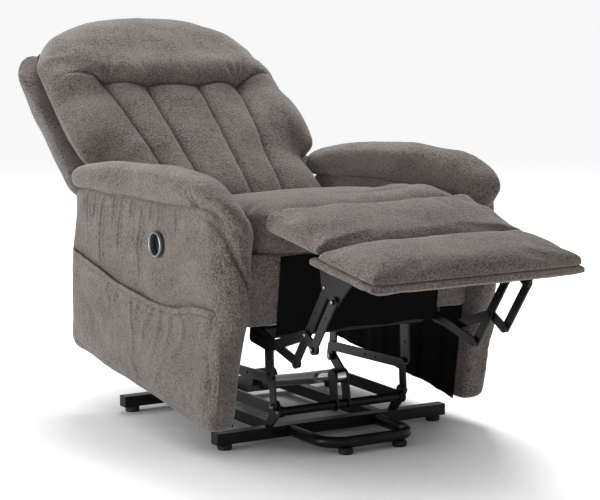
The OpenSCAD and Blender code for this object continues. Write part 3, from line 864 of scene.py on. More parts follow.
@dataclass(frozen=True)
class Webbed:
    """Woven stock, such as webbing and thin dust cloth: two sets of crossing ribs."""

    name: str
    colour: Colour
    tip: Colour
    pitch: float = 420
    rough: float = 0.9
    gloss: float = 0.08

    def make(self) -> Material:
        """Builds the weave from two wave textures at right angles.

        Returns:
            The material.
        """
        material, t, shader, at = new_material(self.name)
        wave = {"Vector": at, "Scale": self.pitch / 6.28, "Distortion": 1.2, "Detail": 1.0}
        weave = t.maths("MULTIPLY", *(t.add("TexWave", wave, bands_direction=way).outputs["Fac"]
                                      for way in ("X", "Z")))
        patch = t.maths("MULTIPLY", t.between(t.noise(at, 22, 4, 0.6), 0.35, 0.7), 0.5)
        light = t.maths("ADD", t.maths("MULTIPLY", weave, 0.5), patch)
        t.feed(shader, {
            "Base Color": t.mix(light, self.colour, self.tip),
            "Roughness": t.between(weave, 0, 1, (self.rough, self.rough - 0.15)),
            "Normal": t.bump(weave, 0.3, 0.0005),
            "Specular IOR Level": self.gloss,
        })
        return material


@dataclass(frozen=True)
class PanelFace:
    """A bright ring round a black dished face: the ring starts at inner, in metres from centre."""

    name: str
    centre: tuple[float, float, float]
    inner: float
    edge: float = 0.0006
    dust: float = 0.12
    face: Colour = (0.01, 0.01, 0.011)
    ring: Colour = (0.2, 0.204, 0.212)
    gloss: float = 0.15

    def make(self) -> Material:
        """Builds a mask by the distance from the panel's axis.

        Returns:
            The material.
        """
        material, t, shader, at = new_material(self.name)
        off = t.add("VectorMath", {0: at, 1: self.centre}, operation="SUBTRACT").outputs[0]
        flat = t.add("VectorMath", {0: off, 1: (0, 1, 1)}, operation="MULTIPLY").outputs[0]
        far = t.add("VectorMath", {0: flat}, operation="LENGTH").outputs["Value"]
        ring = t.between(far, self.inner - self.edge, self.inner + self.edge)
        dust = t.add("Group", {"Position": at}, node_tree=coat_effect()).outputs["Dust"]
        rough = t.between(ring, 0, 1, (0.5, 0.2))
        t.feed(shader, {
            "Base Color": t.mix(ring, self.face, self.ring),
            "Metallic": ring,
            "Roughness": t.maths("ADD", rough, t.maths("MULTIPLY", dust, self.dust)),
            "Specular IOR Level": self.gloss,
        })
        return material


BUTTON_PANEL = CARRIAGE.metres(np.array([-395.0, 207.0, 460.0]))
FINISHES = {
    "upholstery": Chenille("taupe_chenille", (0.0145, 0.0118, 0.0104), (0.182, 0.156, 0.142)),
    "frame_wood": Grained("frame_wood", (0.56, 0.42, 0.27), (0.36, 0.24, 0.14)),
    "panel_ring": PanelFace("panel_ring", tuple(BUTTON_PANEL), 0.0245),
    **{row.name: row for row in (
        Coated("black_steel", (0.0035, 0.0035, 0.004), 0.34, rub=0.02, dust=0.06, gloss=0.16),
        Coated("link_steel", (0.004, 0.004, 0.0045), 0.32, rub=0.03, dust=0.06, gloss=0.2),
        Coated("rivet_steel", (0.2, 0.2, 0.205), 0.3, metal=1.0, rub=0.2, dust=0.2),
        Coated("spring_steel", (0.3, 0.3, 0.31), 0.34, metal=1.0, rub=0.3, dust=0.3),
        Coated("black_rubber", (0.005, 0.005, 0.0055), 0.7, rub=0.04, dust=0.15, gloss=0.3),
        Coated("motor_plastic", (0.006, 0.006, 0.007), 0.45, rub=0.03, dust=0.12, relief=0.3,
               gloss=0.35),
        Coated("button_plastic", (0.015, 0.015, 0.016), 0.24, rub=0.05, dust=0.1, relief=0.05),
        Coated("actuator_tube", (0.17, 0.175, 0.18), 0.36, metal=0.8, rub=0.25, dust=0.3),
        Coated("actuator_rod", (0.56, 0.56, 0.57), 0.16, metal=1.0, rub=0.15, dust=0.15,
               relief=0.04),
        Webbed("dust_cloth", (0.0015, 0.0015, 0.0017), (0.005, 0.005, 0.0055), rough=0.95),
        Webbed("strap_web", (0.02, 0.02, 0.022), (0.07, 0.07, 0.075), pitch=700),
    )},
}


@dataclass
class Workshop:
    """The finishes, made once, and the ways that a piece is made and handed over."""

    frame: dict
    made: dict[str, Material] = field(default_factory=dict)

    def finish(self, slot: str) -> Material:
        """Gives a finish, which is made when it is first asked for.

        Args:
            slot: a slot of the record.
        Returns:
            Its material.
        """
        if slot not in self.made:
            self.made[slot] = FINISHES[slot].make()
        return self.made[slot]

    def dress_frame(self) -> None:
        """Gives every construction node the finish of its slot."""
        for row in self.frame["record"]["subparts"]:
            for slot in self.frame["nodes"][row["node"]].material_slots:
                slot.material = self.finish(row["material_slot"])

    def cover(self, name: str, station: Station, x: Array, v: Array, w: Array, faces: Array,
              slot: str = "upholstery") -> Piece:
        """A new piece, drawn in a station.

        Args:
            name: its name.
            station: where it is drawn.
            x: its points across the chair, in millimetres.
            v: its points along the station's slope.
            w: its points square to that.
            faces: its faces.
            slot: its finish.
        Returns:
            The piece.
        """
        points = np.stack(np.broadcast_arrays(x, v, w), -1).reshape(-1, 3)
        return new_piece(name, station.metres(points), faces, self.finish(slot))

    def hand_over(self, piece: Piece, body: Body, *stands_for: str, slot: str = "upholstery",
                  fill: float = 0) -> None:
        """Puts a finished piece on its body.

        Args:
            piece: the piece.
            body: what it rides on.
            stands_for: the nodes that it replaces.
            slot: its finish; not used.
            fill: how tight it is, if it is padded; not used.
        """
        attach(piece, body.value)
        if stands_for:
            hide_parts(*stands_for)
        log.info("%s rides on %s", piece.name, body.value)


# ---- Back -------------------------------------------------------------------
@dataclass
class Back:
    """The channelled back, its head pillow and the outer back, drawn in the back's station."""

    shop: Workshop
    length: float = 742
    foot: float = -28
    overhang: float = 24
    outline: Points = (
        (190, 302), (198, 336), (212, 362), (240, 371), (320, 367), (390, 363), (470, 357),
        (560, 347), (610, 337), (645, 321), (676, 302), (706, 280), (728, 250), (744, 222),
        (758, 190))
    head_seam: float = 452
    bed: float = 3
    rim: float = 20
    face: float = 52
    head_face: float = 75
    crown: float = 9
    flare: float = 13
    frame_top: float = 702
    pad_relax: int = 360
    shell_front: float = -21
    shell_rear: float = -106
    shell_start: float = 58
    shell_short: float = 20
    shell_relax: int = 140
    head_line: Points = (
        (-352, 502), (-322, 508), (-269, 505), (-232, 488), (-205, 465), (-140, 458), (-84, 446),
        (-10, 449), (71, 441), (147, 448), (197, 440), (249, 466), (303, 480), (352, 480))
    channels: tuple[Points, ...] = (
        ((-205, 463), (-188, 378), (-174, 268), (-162, 156), (-150, 4)),
        ((-84, 436), (-82, 312), (-75, 145), (-66, 2)),
        ((71, 435), (64, 230), (56, 90), (52, 2)),
        ((197, 436), (184, 320), (170, 210), (146, 7)))
    tufts: Points = ((-205, 463, 9, 1), (-84, 436, 3, 0.4), (71, 435, 3, 0.4), (197, 436, 9, 1))
    shell_seam: Points = ((240, 66), (252, 205), (306, 270), (312, 480), (290, 640), (262, 692))
    shell_brow: Points = ((-262, 655), (0, 664), (262, 655))

    def half(self, u: Array) -> Array:
        """Half width at u from the outline: narrow between the arms, wider above them."""
        return np.interp(u, *np.array(self.outline, float).T)

    def pad(self) -> None:
        """Makes one stuffed cover over back and head pillow: x = s half(u), w from bed to face."""
        s, t, h, faces = pillow(110, 120, Rim(across=11, along=16, box=2.4, corner=14))
        u = spread(self.foot, self.length + self.overhang, t)
        head = eased(u, self.head_seam - 30, self.head_seam + 50)
        drop = 1 - 0.25 * eased(u, self.length - 80, self.length)
        top = self.face + (self.head_face - self.face) * head * drop + self.crown * np.cos(1.4 * s)
        low = self.bed - 14 * eased(u, self.frame_top, self.frame_top + 25)
        flare = self.flare * eased(u, 540, 640)
        droop = flare * eased(-h, 0.2, 0.9) * eased(np.abs(s), 0.84, 0.95)
        w = thick(h, self.rim, top, low) - droop
        x = s * (self.half(u) + flare * eased(-h, 0, 0.8))
        piece = self.shop.cover("back_pad", BACK, x, u, w, faces)
        stuff(piece, BACK, Filling(voxel=8, caps=(6, 6, 24), held=6, passes=9))
        x, u, w = BACK.local(points_of(piece.data)).T
        head = eased(u, 580, 680) * eased(w, -20, 20) * eased(np.abs(x), 60, 200)
        wing = eased(np.abs(x), 305, 335) * (1 - eased(u, 250, 330))
        relax(piece, np.maximum(head, wing), self.pad_relax)
        self.sew(Skin(piece, BACK))
        self.shop.hand_over(piece, Body.BACK, "back_cushion", "headrest", fill=0.75)

    def sew(self, skin: Skin) -> None:
        """Sews the head seam and four channel seams, fills between them, and gathers the tufts.

        Args:
            skin: the pad's cover.
        """
        x, u, w = skin.p.T
        front = eased(skin.n[:, 2], 0.05, 0.4) * eased(w, 14, 30)
        seam_u = np.interp(x, *smooth_line(self.head_line, 90).T)
        below = eased(seam_u - u, -6, 6)
        middle = front * (1 - 0.86 * eased(np.abs(x), 225, 325))
        skin.sew(self.head_line, XY, ((6, 24), (9, 5)), middle, sharp=2.4)
        skin.move += 7 * bell(u - seam_u - 62, 50) * front * (1 - eased(np.abs(x), 200, 300))
        for points in self.channels:
            skin.sew(points, XY, ((11, 17), (4, 3.5)), front * below, sharp=1.8)
        for k, (tx, tu, depth, pull) in enumerate(self.tufts):
            skin.move -= depth * bell(np.hypot(x - tx, u - tu), 22) * front
            for j in range(-3, 4):
                lean, rise = 11 * j, 46 + 16 * ((j * 7 + k * 5) % 3)
                ray = ((tx + 4 * j, tu + 8), (tx + lean * 0.8, tu + rise * 0.5),
                       (tx + lean * 1.3, tu + rise))
                skin.fold(XY, front, (ray, pull * (3 if j % 2 else -2.6), 5))
        bolster = eased(np.abs(x), 190, 270) * eased(u, 190, 300) * (1 - eased(u, 360, 470))
        skin.move += 4 * bolster * below * front
        skin.waver(XY, front, (1.3, 210, 3), (0.35, 70, 4))
        skin.finish()

    def shell(self) -> None:
        """Makes the upholstered outer back: a dish, rounded behind, that thins to the top."""
        s, t, h, faces = pillow(110, 110, Rim(across=9, along=14, box=2.5, corner=12))
        share = (t + 1) / 2
        u = spread(self.shell_start, self.length - self.shell_short, t)
        half = self.half(np.minimum(u, self.head_seam)) - 20 * (1 - eased(u, 186, 206))
        half += 4 + 12 * share - 30 * ((share - 0.84) / 0.16).clip(0) ** 2
        rim = -26 + 20 * eased(u, 220, 260)
        rear = self.shell_rear + 0.16 * (u - 500).clip(0) - 3 * np.cos(1.5 * s)
        w = thick(np.minimum(1, np.maximum(h, 1.6 * h)), rim, self.shell_front, rear)
        piece = self.shop.cover("outer_back_shell", BACK, s * half, u, w, faces)
        stuff(piece, BACK, Filling(voxel=9, caps=(3, 3, 5), held=-1000, pressure=1.0))
        x, u, w = BACK.local(points_of(piece.data)).T
        relax(piece, np.maximum(eased(u, 600, 680), eased(np.abs(x), 270, 310)), self.shell_relax)
        skin = Skin(piece, BACK)
        behind = eased(-skin.n[:, 2], 0.1, 0.5)
        for side in Side:
            edge = [(side.value * x, u) for x, u in self.shell_seam]
            skin.sew(edge, XY, ((2.2, 9), (1.4, 3)), behind, sharp=1.8)
        skin.sew(self.shell_brow, XY, ((4, 8),), behind)
        skin.waver(XY, behind, (1.4, 200, 8))
        skin.finish()
        self.shop.hand_over(piece, Body.BACK, "outer_back", fill=0.4)

    def build(self) -> None:
        """Makes both covers."""
        self.pad()
        self.shell()


# ---- Seat and footrest ------------------------------------------------------
@dataclass
class SeatAndFootrest:
    """The chaise: seat cushion, leg flap and footrest, with the cloths under them."""

    shop: Workshop
    half: float = 287
    seat_front: float = -49
    seat_back: float = 529
    seat_low: float = 1
    seat_mid: float = 50
    seat_top: float = 98
    seat_folds: tuple = (
        (((-260, 130), (-120, 104), (10, 66), (120, 40), (200, 34)), -5, 15),
        (((-60, 150), (30, 128), (120, 96)), -2.5, 14),
        (((110, 140), (180, 190), (240, 260)), -3.5, 15),
        (((140, 20), (200, 60), (255, 130)), -3, 13),
        (((90, 40), (160, 90), (210, 160)), 3, 16),
        (((-240, 60), (-200, 140), (-215, 240)), -3, 16))
    flap_rear: float = -88
    flap_top: tuple[float, float] = (586, 602)
    flap_low: float = 558
    flap_folds: tuple = (
        (((120, -120), (150, -190), (165, -260)), -2.6, 15),
        (((-60, -110), (-30, -170)), -1.8, 15),
        (((200, -130), (238, -200), (250, -290)), -2.4, 15),
        (((-210, -130), (-225, -240)), -2, 15))
    crease: float = -318
    foot_front: float = -556
    foot_top: float = 588
    foot_relax: int = 60
    foot_folds: tuple = (
        (((-150, -540), (-120, -470), (-130, -400)), -1.8, 14),
        (((170, -545), (190, -470), (180, -390)), -1.8, 14))
    board_low: float = 526.5
    board_top: float = 552
    board_rear: float = -295
    rail_middle: tuple[float, float] = (-66, 409.5)
    rail_half: tuple[float, float, float] = (317, 9.5, 86.5)
    curtain_y: float = -77.6
    curtain_width: float = 452
    curtain_span: tuple[float, float] = (490, 299)
    lining_run: tuple[float, float] = (-58, 650)
    lining_span: tuple[float, float] = (320, 75)
    lining_x: float = 317.4
    cloth: float = 0.7

    def press(self, skin: Skin, low: float, folds: tuple, *fields: tuple) -> None:
        """Presses folds into a pad's upper face, wavers it and finishes it.

        Args:
            skin: its cover.
            low: how far up a normal has to point before it counts as upper.
            folds: the folds.
            fields: the random fields.
        """
        top = eased(skin.n[:, 2], low, 0.5)
        skin.fold(XY, top, *folds)
        skin.waver(XY, top, *fields)
        skin.finish()

    def seat(self) -> None:
        """Makes the seat cushion: w rises from its bed to a crowned top."""
        s, t, h, faces = pillow(96, 96, Rim(across=36, along=30, box=3.6, corner=50))
        v = spread(self.seat_front, self.seat_back, t)
        top = self.seat_top + 12 * np.cos(1.5 * s) * np.cos(1.3 * t) - 6 * eased(v, 320, 500)
        top += (2 + 15 * s * s) * eased(v, -60, 60) * (1 - eased(v, 95, 270))
        w = thick(h, self.seat_mid, top, self.seat_low)
        v += 20 * eased(-w, -self.seat_mid, -2) * eased(-t, 0.6, 1)
        v -= 19 * eased(w, self.seat_mid, 92) * eased(-t, 0.7, 1)
        half = self.half - 5 * (1 - t * t) + 15 * eased(t, -1, -0.6)
        piece = self.shop.cover("seat_pad", SEAT, s * half, v, w, faces)
        stuff(piece, SEAT, Filling(voxel=7, caps=(5, 5, 24), held=5))
        skin = Skin(piece, SEAT)
        x, v, w = skin.p.T
        corner = bell(np.hypot((x - 205) / 70, (v - 70) / 90), 1)
        skin.move += 9 * corner * eased(skin.n[:, 2], 0.1, 0.5)
        self.press(skin, 0.1, self.seat_folds, (1.6, 240, 21), (0.3, 80, 22))
        self.shop.hand_over(piece, Body.CARRIAGE, "seat_cushion", fill=0.7)

    def flap(self) -> None:
        """Makes the padded flap that carries the calves: z from its bed to a hollowed top."""
        s, t, h, faces = pillow(96, 60, Rim(across=40, along=34, box=3.8, corner=60))
        y = spread(self.crease - 4, self.flap_rear, t)
        top = spread(*self.flap_top, t) - 8 + 6 * np.cos(1.4 * s) - 4 * eased(-t, 0.72, 1)
        top += 10 * eased(t, -0.85, 0.1) + 8 * s * s * eased(t, -0.7, 0.2)
        z = thick(h, self.flap_low + 16, top, self.flap_low)
        x = s * (self.half - 3 * (1 - t * t))
        piece = self.shop.cover("calf_flap", CARRIAGE, x, y, z, faces)
        stuff(piece, CARRIAGE, Filling(voxel=6.5, caps=(4, 4, 14), held=self.flap_low + 5))
        self.press(Skin(piece, CARRIAGE), 0.1, self.flap_folds, (1.4, 220, 31), (0.3, 70, 32))
        self.shop.hand_over(piece, Body.FOOTREST, "leg_flap", fill=0.6)

    def foot_pad(self) -> None:
        """Makes the top pad of the footrest, full in the middle and rounded at both ends."""
        s, t, h, faces = pillow(96, 60, Rim(across=20, along=26, box=2.8, corner=24))
        y = spread(self.foot_front, self.crease, t)
        low = self.board_top + 0.3
        top = self.foot_top - 1 + 4 * np.cos(1.4 * s)
        top -= 11 * ((-425 - y).clip(0) / 131) ** 2 + 12 * ((y + 405).clip(0) / 87) ** 2
        z = thick(h, low + 7, top, low)
        piece = self.shop.cover("footrest_pad", CARRIAGE, s * (self.half + 1), y, z, faces)
        stuff(piece, CARRIAGE, Filling(voxel=6, caps=(5, 5, 12), held=low + 5))
        x, y, z = CARRIAGE.local(points_of(piece.data)).T
        edges = np.maximum(eased(-y, 440, 500), eased(np.abs(x), 210, 255))
        relax(piece, eased(z, low + 4, low + 12) * edges, self.foot_relax)
        self.press(Skin(piece, CARRIAGE), 0, self.foot_folds, (1.1, 210, 41), (0.3, 70, 42))
        self.shop.hand_over(piece, Body.FOOTREST, "footrest_cushion", fill=0.7)

    def foot_board(self) -> None:
        """Makes the covered board under the pad, its cover turned under along every edge."""
        s, t, h, faces = pillow(90, 50, Rim(across=60, along=50, box=4.5, corner=60))
        y = spread(self.foot_front + 2, self.board_rear, t)
        mid = (self.board_low + self.board_top) / 2
        tuck = 8 * eased(np.maximum(-t, np.abs(s) - 0.03), 0.84, 0.97) * eased(-h, 0, 0.9)
        z = thick(h, mid, self.board_top, self.board_low) + tuck
        piece = self.shop.cover("footrest_base_cover", CARRIAGE, s * (self.half + 1), y, z, faces)
        finer(piece, 0)
        skin = Skin(piece, CARRIAGE)
        turn = [(x, self.foot_front + 24) for x in (-270, 270)]
        skin.sew(turn, XY, ((1.5, 4),), eased(-skin.n[:, 2], 0.2, 0.6))
        skin.waver(XYZ, 1, (0.5, 60, 51))
        skin.finish()
        self.shop.hand_over(piece, Body.FOOTREST, "footrest_board", fill=0.3)

    def apron(self) -> None:
        """Makes the covered front rail of the seat part, behind the black cloth."""
        s, t, h, faces = pillow(80, 40, Rim(across=40, along=24, box=3, corner=40))
        half, rise, tall = self.rail_half
        y, z = self.rail_middle[0] - rise * h, self.rail_middle[1] + tall * t
        piece = self.shop.cover("front_rail_cover", CARRIAGE, s * half, y, z, faces)
        finer(piece, 3)
        skin = Skin(piece, CARRIAGE)
        skin.waver(XZ, eased(-skin.n[:, 1], 0.1, 0.6), (0.8, 70, 61))
        skin.finish()
        self.shop.hand_over(piece, Body.CARRIAGE, "front_apron", fill=0.3)

    def curtain(self) -> None:
        """Makes the black front cloth: it hangs in shallow sine folds, deeper lower down."""
        s, t, faces = open_grid(120, 50, start=-1)
        top, low = self.curtain_span
        fold = np.sin(s * 15 + 1.2 * np.sin(3 * s)) * 1.6 + 0.8 * np.sin(s * 37 + 1)
        y = self.curtain_y - (1.6 + fold * 0.55) * t**0.8
        z = top + (low - top) * t + 2.0 * t * np.cos(s * 9)
        x = s * self.curtain_width / 2
        piece = self.shop.cover("front_cloth", CARRIAGE, x, y, z, faces, "dust_cloth")
        thicken(piece, self.cloth)
        self.shop.hand_over(piece, Body.CARRIAGE, "front_curtain", slot="dust_cloth")

    def lining(self, side: Side) -> None:
        """Makes the black cloth over an arm's inner face, slack along its lower edge.

        Args:
            side: which arm.
        """
        s, t, faces = open_grid(90, 40)
        (start, end), (top, low), name = self.lining_run, self.lining_span, side.name.lower()
        y = start + (end - start) * s
        z = top + (low + 5 * np.sin(9 * s) ** 2 - top) * t
        slack = 1 + np.sin(y / 19 + 1.5 * np.sin(y / 71)) * 0.9 + 0.6 * np.sin(y / 8.3)
        x = side.value * (self.lining_x - (0.5 + 1.6 * slack.clip(0)) * t)
        piece = self.shop.cover(f"{name}_arm_lining", CARRIAGE, x, y, z, faces[:, :: side.value],
                                "dust_cloth")
        thicken(piece, self.cloth)
        self.shop.hand_over(piece, Body.CARRIAGE, slot="dust_cloth")

    def build(self) -> None:
        """Makes the chaise and its cloths, one after another."""
        for make in (self.seat, self.flap, self.foot_pad, self.foot_board, self.apron,
                     self.curtain):
            make()
        for side in Side:
            self.lining(side)


# ---- Arms -------------------------------------------------------------------
@dataclass
class Arms:
    """Both arms: covered side panels with a front band, scroll pads, and the side pocket."""

    shop: Workshop
    inner: float = 318.5
    outer: float = 395
    front: Points = ((-84, 73), (-92, 148), (-93, 195), (-98, 236), (-112, 310), (-128, 364),
                     (-124, 422), (-112, 464), (-92, 520), (-84, 558))
    rear: Points = ((668, 73), (677, 135), (690, 333), (690, 484))
    top: Points = ((-84, 562), (-60, 582), (0, 592), (60, 590), (211, 566), (403, 541), (500, 527),
                   (560, 517), (690, 494))
    band: Points = ((397, 582), (374, 546), (357, 498), (337, 449), (320, 402))
    inner_seam: Points = ((319, -96, 560), (319, -118, 470), (319, -122, 412), (319, -116, 330),
                          (319, -95, 200), (319, -88, 90))
    pleats: tuple[Points, ...] = (
        ((505, 520), (520, 456), (517, 385), (511, 318)), ((590, 498), (591, 447), (588, 410)),
        ((616, 486), (613, 440)), ((412, 532), (418, 458), (417, 400)),
        ((305, 540), (303, 471), (309, 431), (305, 335)), ((255, 548), (258, 500)),
        ((360, 538), (357, 480)), ((218, 548), (213, 495)), ((132, 560), (126, 501)),
        ((460, 525), (458, 440)), ((552, 505), (556, 440)))
    far_line: Points = (
        (-92, 553), (-102, 588), (-107, 626), (-90, 659), (-38, 681), (60, 683), (234, 658),
        (390, 632), (553, 592), (630, 570), (690, 545), (716, 526))
    near_line: Points = (
        (-106, 550), (-113, 580), (-100, 610), (-60, 637), (0, 651), (88, 654), (234, 635),
        (390, 610), (553, 580), (630, 562), (690, 540), (716, 524))
    pleat_depths: tuple[float, float] = (4.5, 7)
    pad_root: Points = (
        (-100, 545), (-92, 556), (-84, 570), (-60, 582), (0, 588), (60, 583), (211, 558),
        (403, 531), (500, 512), (560, 501), (640, 490), (708, 481))
    pad_share: Sequence[float] = (0.5, 0.76, 0.9, 0.97, 1, 1, 1, 1, 1, 1, 0.98, 0.86)
    pad_round: Sequence[float] = (1, 0.9, 0.8, 0.65, 0.5, 0.5, 0.5, 0.5, 0.5, 0.5, 0.5, 0.6)
    pad_in: float = 309
    pad_out: float = 397
    pad_tuft: tuple[float, float] = (54, 590)
    lip: float = 20
    panel: tuple[float, float] = (207, 460)
    recess_depth: float = 14
    recess_rim: tuple[float, float] = (24.5, 28.5)
    bezel_profile: Points = ((-395.2, 29.5), (-401, 31.6), (-406.4, 31.2), (-408.6, 28.8),
                             (-407.2, 26), (-401, 24.7), (-396, 25.4), (-395.2, 29.5))
    hem: Points = ((-80, 373), (-40, 370), (24, 358), (85, 336), (146, 325), (210, 318), (316, 314),
                   (417, 314), (487, 320), (612, 329), (676, 333))
    pocket_foot: Points = ((-70, 88), (120, 86), (400, 85), (652, 88))
    pocket_size: tuple[float, float] = (0.86, 0.262)
    gathers: tuple = (
        (((334, 312), (319, 244), (306, 200), (309, 142), (289, 112)), 5.5),
        (((393, 308), (408, 272), (419, 240)), 4), (((275, 310), (296, 262), (303, 235)), 4),
        (((193, 316), (230, 270), (251, 236), (264, 190)), 5.5),
        (((171, 318), (172, 262), (190, 220), (220, 170)), 5),
        (((120, 325), (118, 270), (135, 235), (157, 195)), 4.5),
        (((89, 334), (51, 291), (73, 242), (132, 197), (175, 144), (188, 108)), 6),
        (((450, 312), (470, 250)), 2.5), (((240, 312), (236, 270), (246, 240)), 4))

    def side_panel(self) -> Piece:
        """The left arm: a Coons patch between its four edges, thick by h, with squared edges.

        Returns:
            The panel.
        """
        s, t, h, faces = pillow(100, 84, Rim(across=34, along=40, box=3.6, corner=34))
        a, b = (s + 1) / 2, (t + 1) / 2
        low = smooth_line([self.front[0], self.rear[0]], 20)
        top, front, rear = (smooth_line(p, 160) for p in (self.top, self.front, self.rear))
        flat = (1 - b)[:, None] * on_line(low, a) + b[:, None] * on_line(top, a)
        flat += (1 - a)[:, None] * on_line(front, b) + a[:, None] * on_line(rear, b)
        for corner, share in ((low[0], (1 - a) * (1 - b)), (low[-1], a * (1 - b)),
                              (top[0], (1 - a) * b), (top[-1], a * b)):
            flat -= share[:, None] * corner
        push = 9 * eased(b, 0.05, 0.2) * (1 - eased(b, 0.42, 0.55)) * (1 - a).clip(0.9, 1)
        y = flat[:, 0] - push * eased(h, 0.1, 0.9) * eased(1 - a, 0.8, 1)
        x = thick(h, (self.inner + self.outer) / 2, self.outer, self.inner)
        piece = self.shop.cover("left_arm_panel", CARRIAGE, x, y, flat[:, 1], faces[:, ::-1])
        remesh(piece, 6)
        finer(piece, 1)
        return piece

    def sew_panel(self, skin: Skin) -> None:
        """Sews pleats under the pad and the slanting front seam, and slackens the panel.

        Args:
            skin: the panel's cover.
        """
        x, y, z = skin.p.T
        out = eased(skin.n[:, 0], 0.1, 0.6)
        ahead = eased(-skin.n[:, 1], -0.2, 0.3)
        turn = 40 * eased(z, 240, 364) + 27 * eased(z, 364, 565)
        skin.p[:, 1] += turn * ((x - 345) / 50).clip(0, 1) ** 2 * (1 - eased(y, -130, 10))
        edge = smooth_line(self.band, 60)[::-1]
        within = eased(np.interp(z, edge[:, 1], edge[:, 0]) - x, -4, 10) * eased(z, 405, 430)
        skin.move += (5 + 13 * eased(z, 470, 556)) * within * ahead
        skin.sew(self.band, XZ, ((8, 8),), ahead, sharp=2.8)
        skin.sew(self.inner_seam, XYZ, ((2.5, 5),), ahead)
        for pleat in self.pleats:
            depth = self.pleat_depths[len(pleat) > 2]
            beside = [(u - 10, v) for u, v in pleat]
            skin.fold(YZ, out, (pleat, -depth, 5), (beside, depth / 2, 6.5))
            # Painted shade down each pleat's groove, kept with the stitch lines.
            d, along = reach(skin.p[:, YZ], smooth_line(pleat, 16))
            shade = 0.06 * depth * bell(d, 3) * tapered(along, 0.02, 0.5)
            skin.thread = np.maximum(skin.thread, shade * out)
        gap = np.hypot(y - self.panel[0], z - self.panel[1])
        skin.waver(YZ, out * eased(gap, 40, 90), (1.8, 230, 71), (0.3, 70, 72))
        skin.finish()

    def recess(self, skin: Skin) -> None:
        """Presses the cover in under the control panel, and flattens it round the ring.

        Args:
            skin: the right panel's cover.
        """
        x, y, z = skin.p.T
        gap = np.hypot(y - self.panel[0], z - self.panel[1])
        out = eased(-skin.n[:, 0], 0.3, 0.7) * (x < 15 - self.outer)
        flush = (-self.outer - 0.2 - x) * (1 - eased(gap, 30, 60))
        skin.p[:, 0] += out * (self.recess_depth * (1 - eased(gap, *self.recess_rim)) + flush)
        skin.finish()

    def pad(self, name: str, line: Points) -> Piece:
        """A scroll pad on the left: superellipse rings between its root and its top line.

        Args:
            name: the piece's name.
            line: the top line.
        Returns:
            The pad.
        """
        share = np.linspace(0, 1, 72)
        a = np.arange(44) * 2 * math.pi / 44
        lo, hi = (on_line(smooth_line(p, 200), share) for p in (self.pad_root, line))
        knots = np.linspace(0, 1, len(self.pad_share))
        wide, power = (np.interp(share, knots, row)[:, None]
                       for row in (self.pad_share, self.pad_round))
        across = np.sign(np.cos(a)) * np.abs(np.cos(a)) ** power
        up = 0.5 + 0.5 * np.sign(np.sin(a)) * np.abs(np.sin(a)) ** 0.62
        x = thick(wide * across, (self.pad_in + self.pad_out) / 2, self.pad_out, self.pad_in)
        y, z = (lo[:, k, None] + (hi - lo)[:, k, None] * up for k in (0, 1))
        z -= (self.lip * (-across).clip(0) ** 3 * (0.4 - np.sin(a)).clip(0, 1)
              * eased(share, 0.2, 0.4)[:, None])
        lean = (x - self.pad_out) / (self.pad_out - self.pad_in)
        y += 50 * (1 + lean) ** 2 * (1 - eased(z, 580, 640)) * (1 - eased(y, -125, 20))
        z += 32 * lean * (1 - eased(y, -70, 170))
        points, faces = loft(np.stack([x, y, z], -1))
        piece = self.shop.cover(name, CARRIAGE, *points.T, faces)
        stuff(piece, CARRIAGE, Filling(voxel=6, caps=(5, 7, 9), held=480, pressure=3.0))
        self.tuft(Skin(piece, CARRIAGE))
        return piece

    def tuft(self, skin: Skin) -> None:
        """Pulls in the tuft on a scroll pad's outer face, and gathers its nose.

        Args:
            skin: the pad's cover.
        """
        ty, tz = self.pad_tuft
        outer = eased(skin.n[:, 0], 0, 0.5)
        d = np.hypot(skin.p[:, 1] - ty, skin.p[:, 2] - tz)
        skin.move -= 10 * bell(d, 15) * outer
        # Painted shade in the middle of the tuft's dimple.
        skin.thread = np.maximum(skin.thread, 0.8 * bell(d, 6) * outer)
        for j in range(-3, 4):
            ray = ((ty + 3 * j, tz), (ty - 2 + 10 * j, tz + 14), (ty - 4 + 16 * j, tz + 30))
            skin.fold(YZ, outer, (ray, 2.2 if j % 2 else -2.2, 4.5))
        for j in range(5):
            crease = ((390, -98 - 4 * j, 566 + 9 * j), (350, -128 - 3 * j, 570 + 8 * j),
                      (322, -120, 575 + 8 * j))
            skin.fold(XYZ, 1, (crease, -1.8, 4.5))
        skin.waver(XYZ, eased(skin.n[:, 2], -0.5, 0.2), (1.4, 190, 81), (0.3, 70, 82))
        skin.finish()

    def pocket(self) -> None:
        """Makes the side pocket: a gathered cloth over the lower panel, hemmed at its open top.

        It stands 1.5 to 10 mm off the panel, pulled to it at the front, rear and bottom.
        """
        s, t, faces = open_grid(150, 60)
        lo, hi = (on_line(smooth_line(line, 200), s) for line in (self.pocket_foot, self.hem))
        flat = lo + (hi - lo) * t[..., None]
        flat[..., 0] += 8 * np.sin(math.pi * t) * s
        edge = eased(np.minimum(s, 1 - s), 0, 0.05) * eased(t, 0, 0.06)
        ridges = np.zeros(s.shape)
        for line, height in self.gathers:
            d, along = reach(flat, smooth_line(line, 30))
            ridges = np.maximum(ridges, 1.45 * height * bell(d, 7.5) * tapered(along, 0.03))
        stand = 1.6 + 4.2 * edge * eased(t, 0.1, 1) + ridges * edge * (1 - 0.3 * t)
        stand += 0.9 * np.abs(ripple(flat, 90, 91)) * edge
        stand += 1.6 * eased(t, 0.935, 0.95) - 1.2 * bell(t - 0.93, 0.012)
        sink = 7 * (1 - eased(np.minimum(np.minimum(s, 1 - s) * 746, t * 240), 0, 16))
        x = -(self.outer + stand.clip(0.8, 10.5) - sink)
        piece = self.shop.cover("side_pocket_cloth", CARRIAGE, x, flat[..., 0], flat[..., 1],
                                faces[:, ::-1])
        # Painted shade along the crease under the hem, with its stitch line.
        put_seam_shade(piece.data, 0.8 * bell(t - 0.93, 0.008))
        thicken(piece, 1.8)
        self.shop.hand_over(piece, Body.CARRIAGE, "side_pocket")

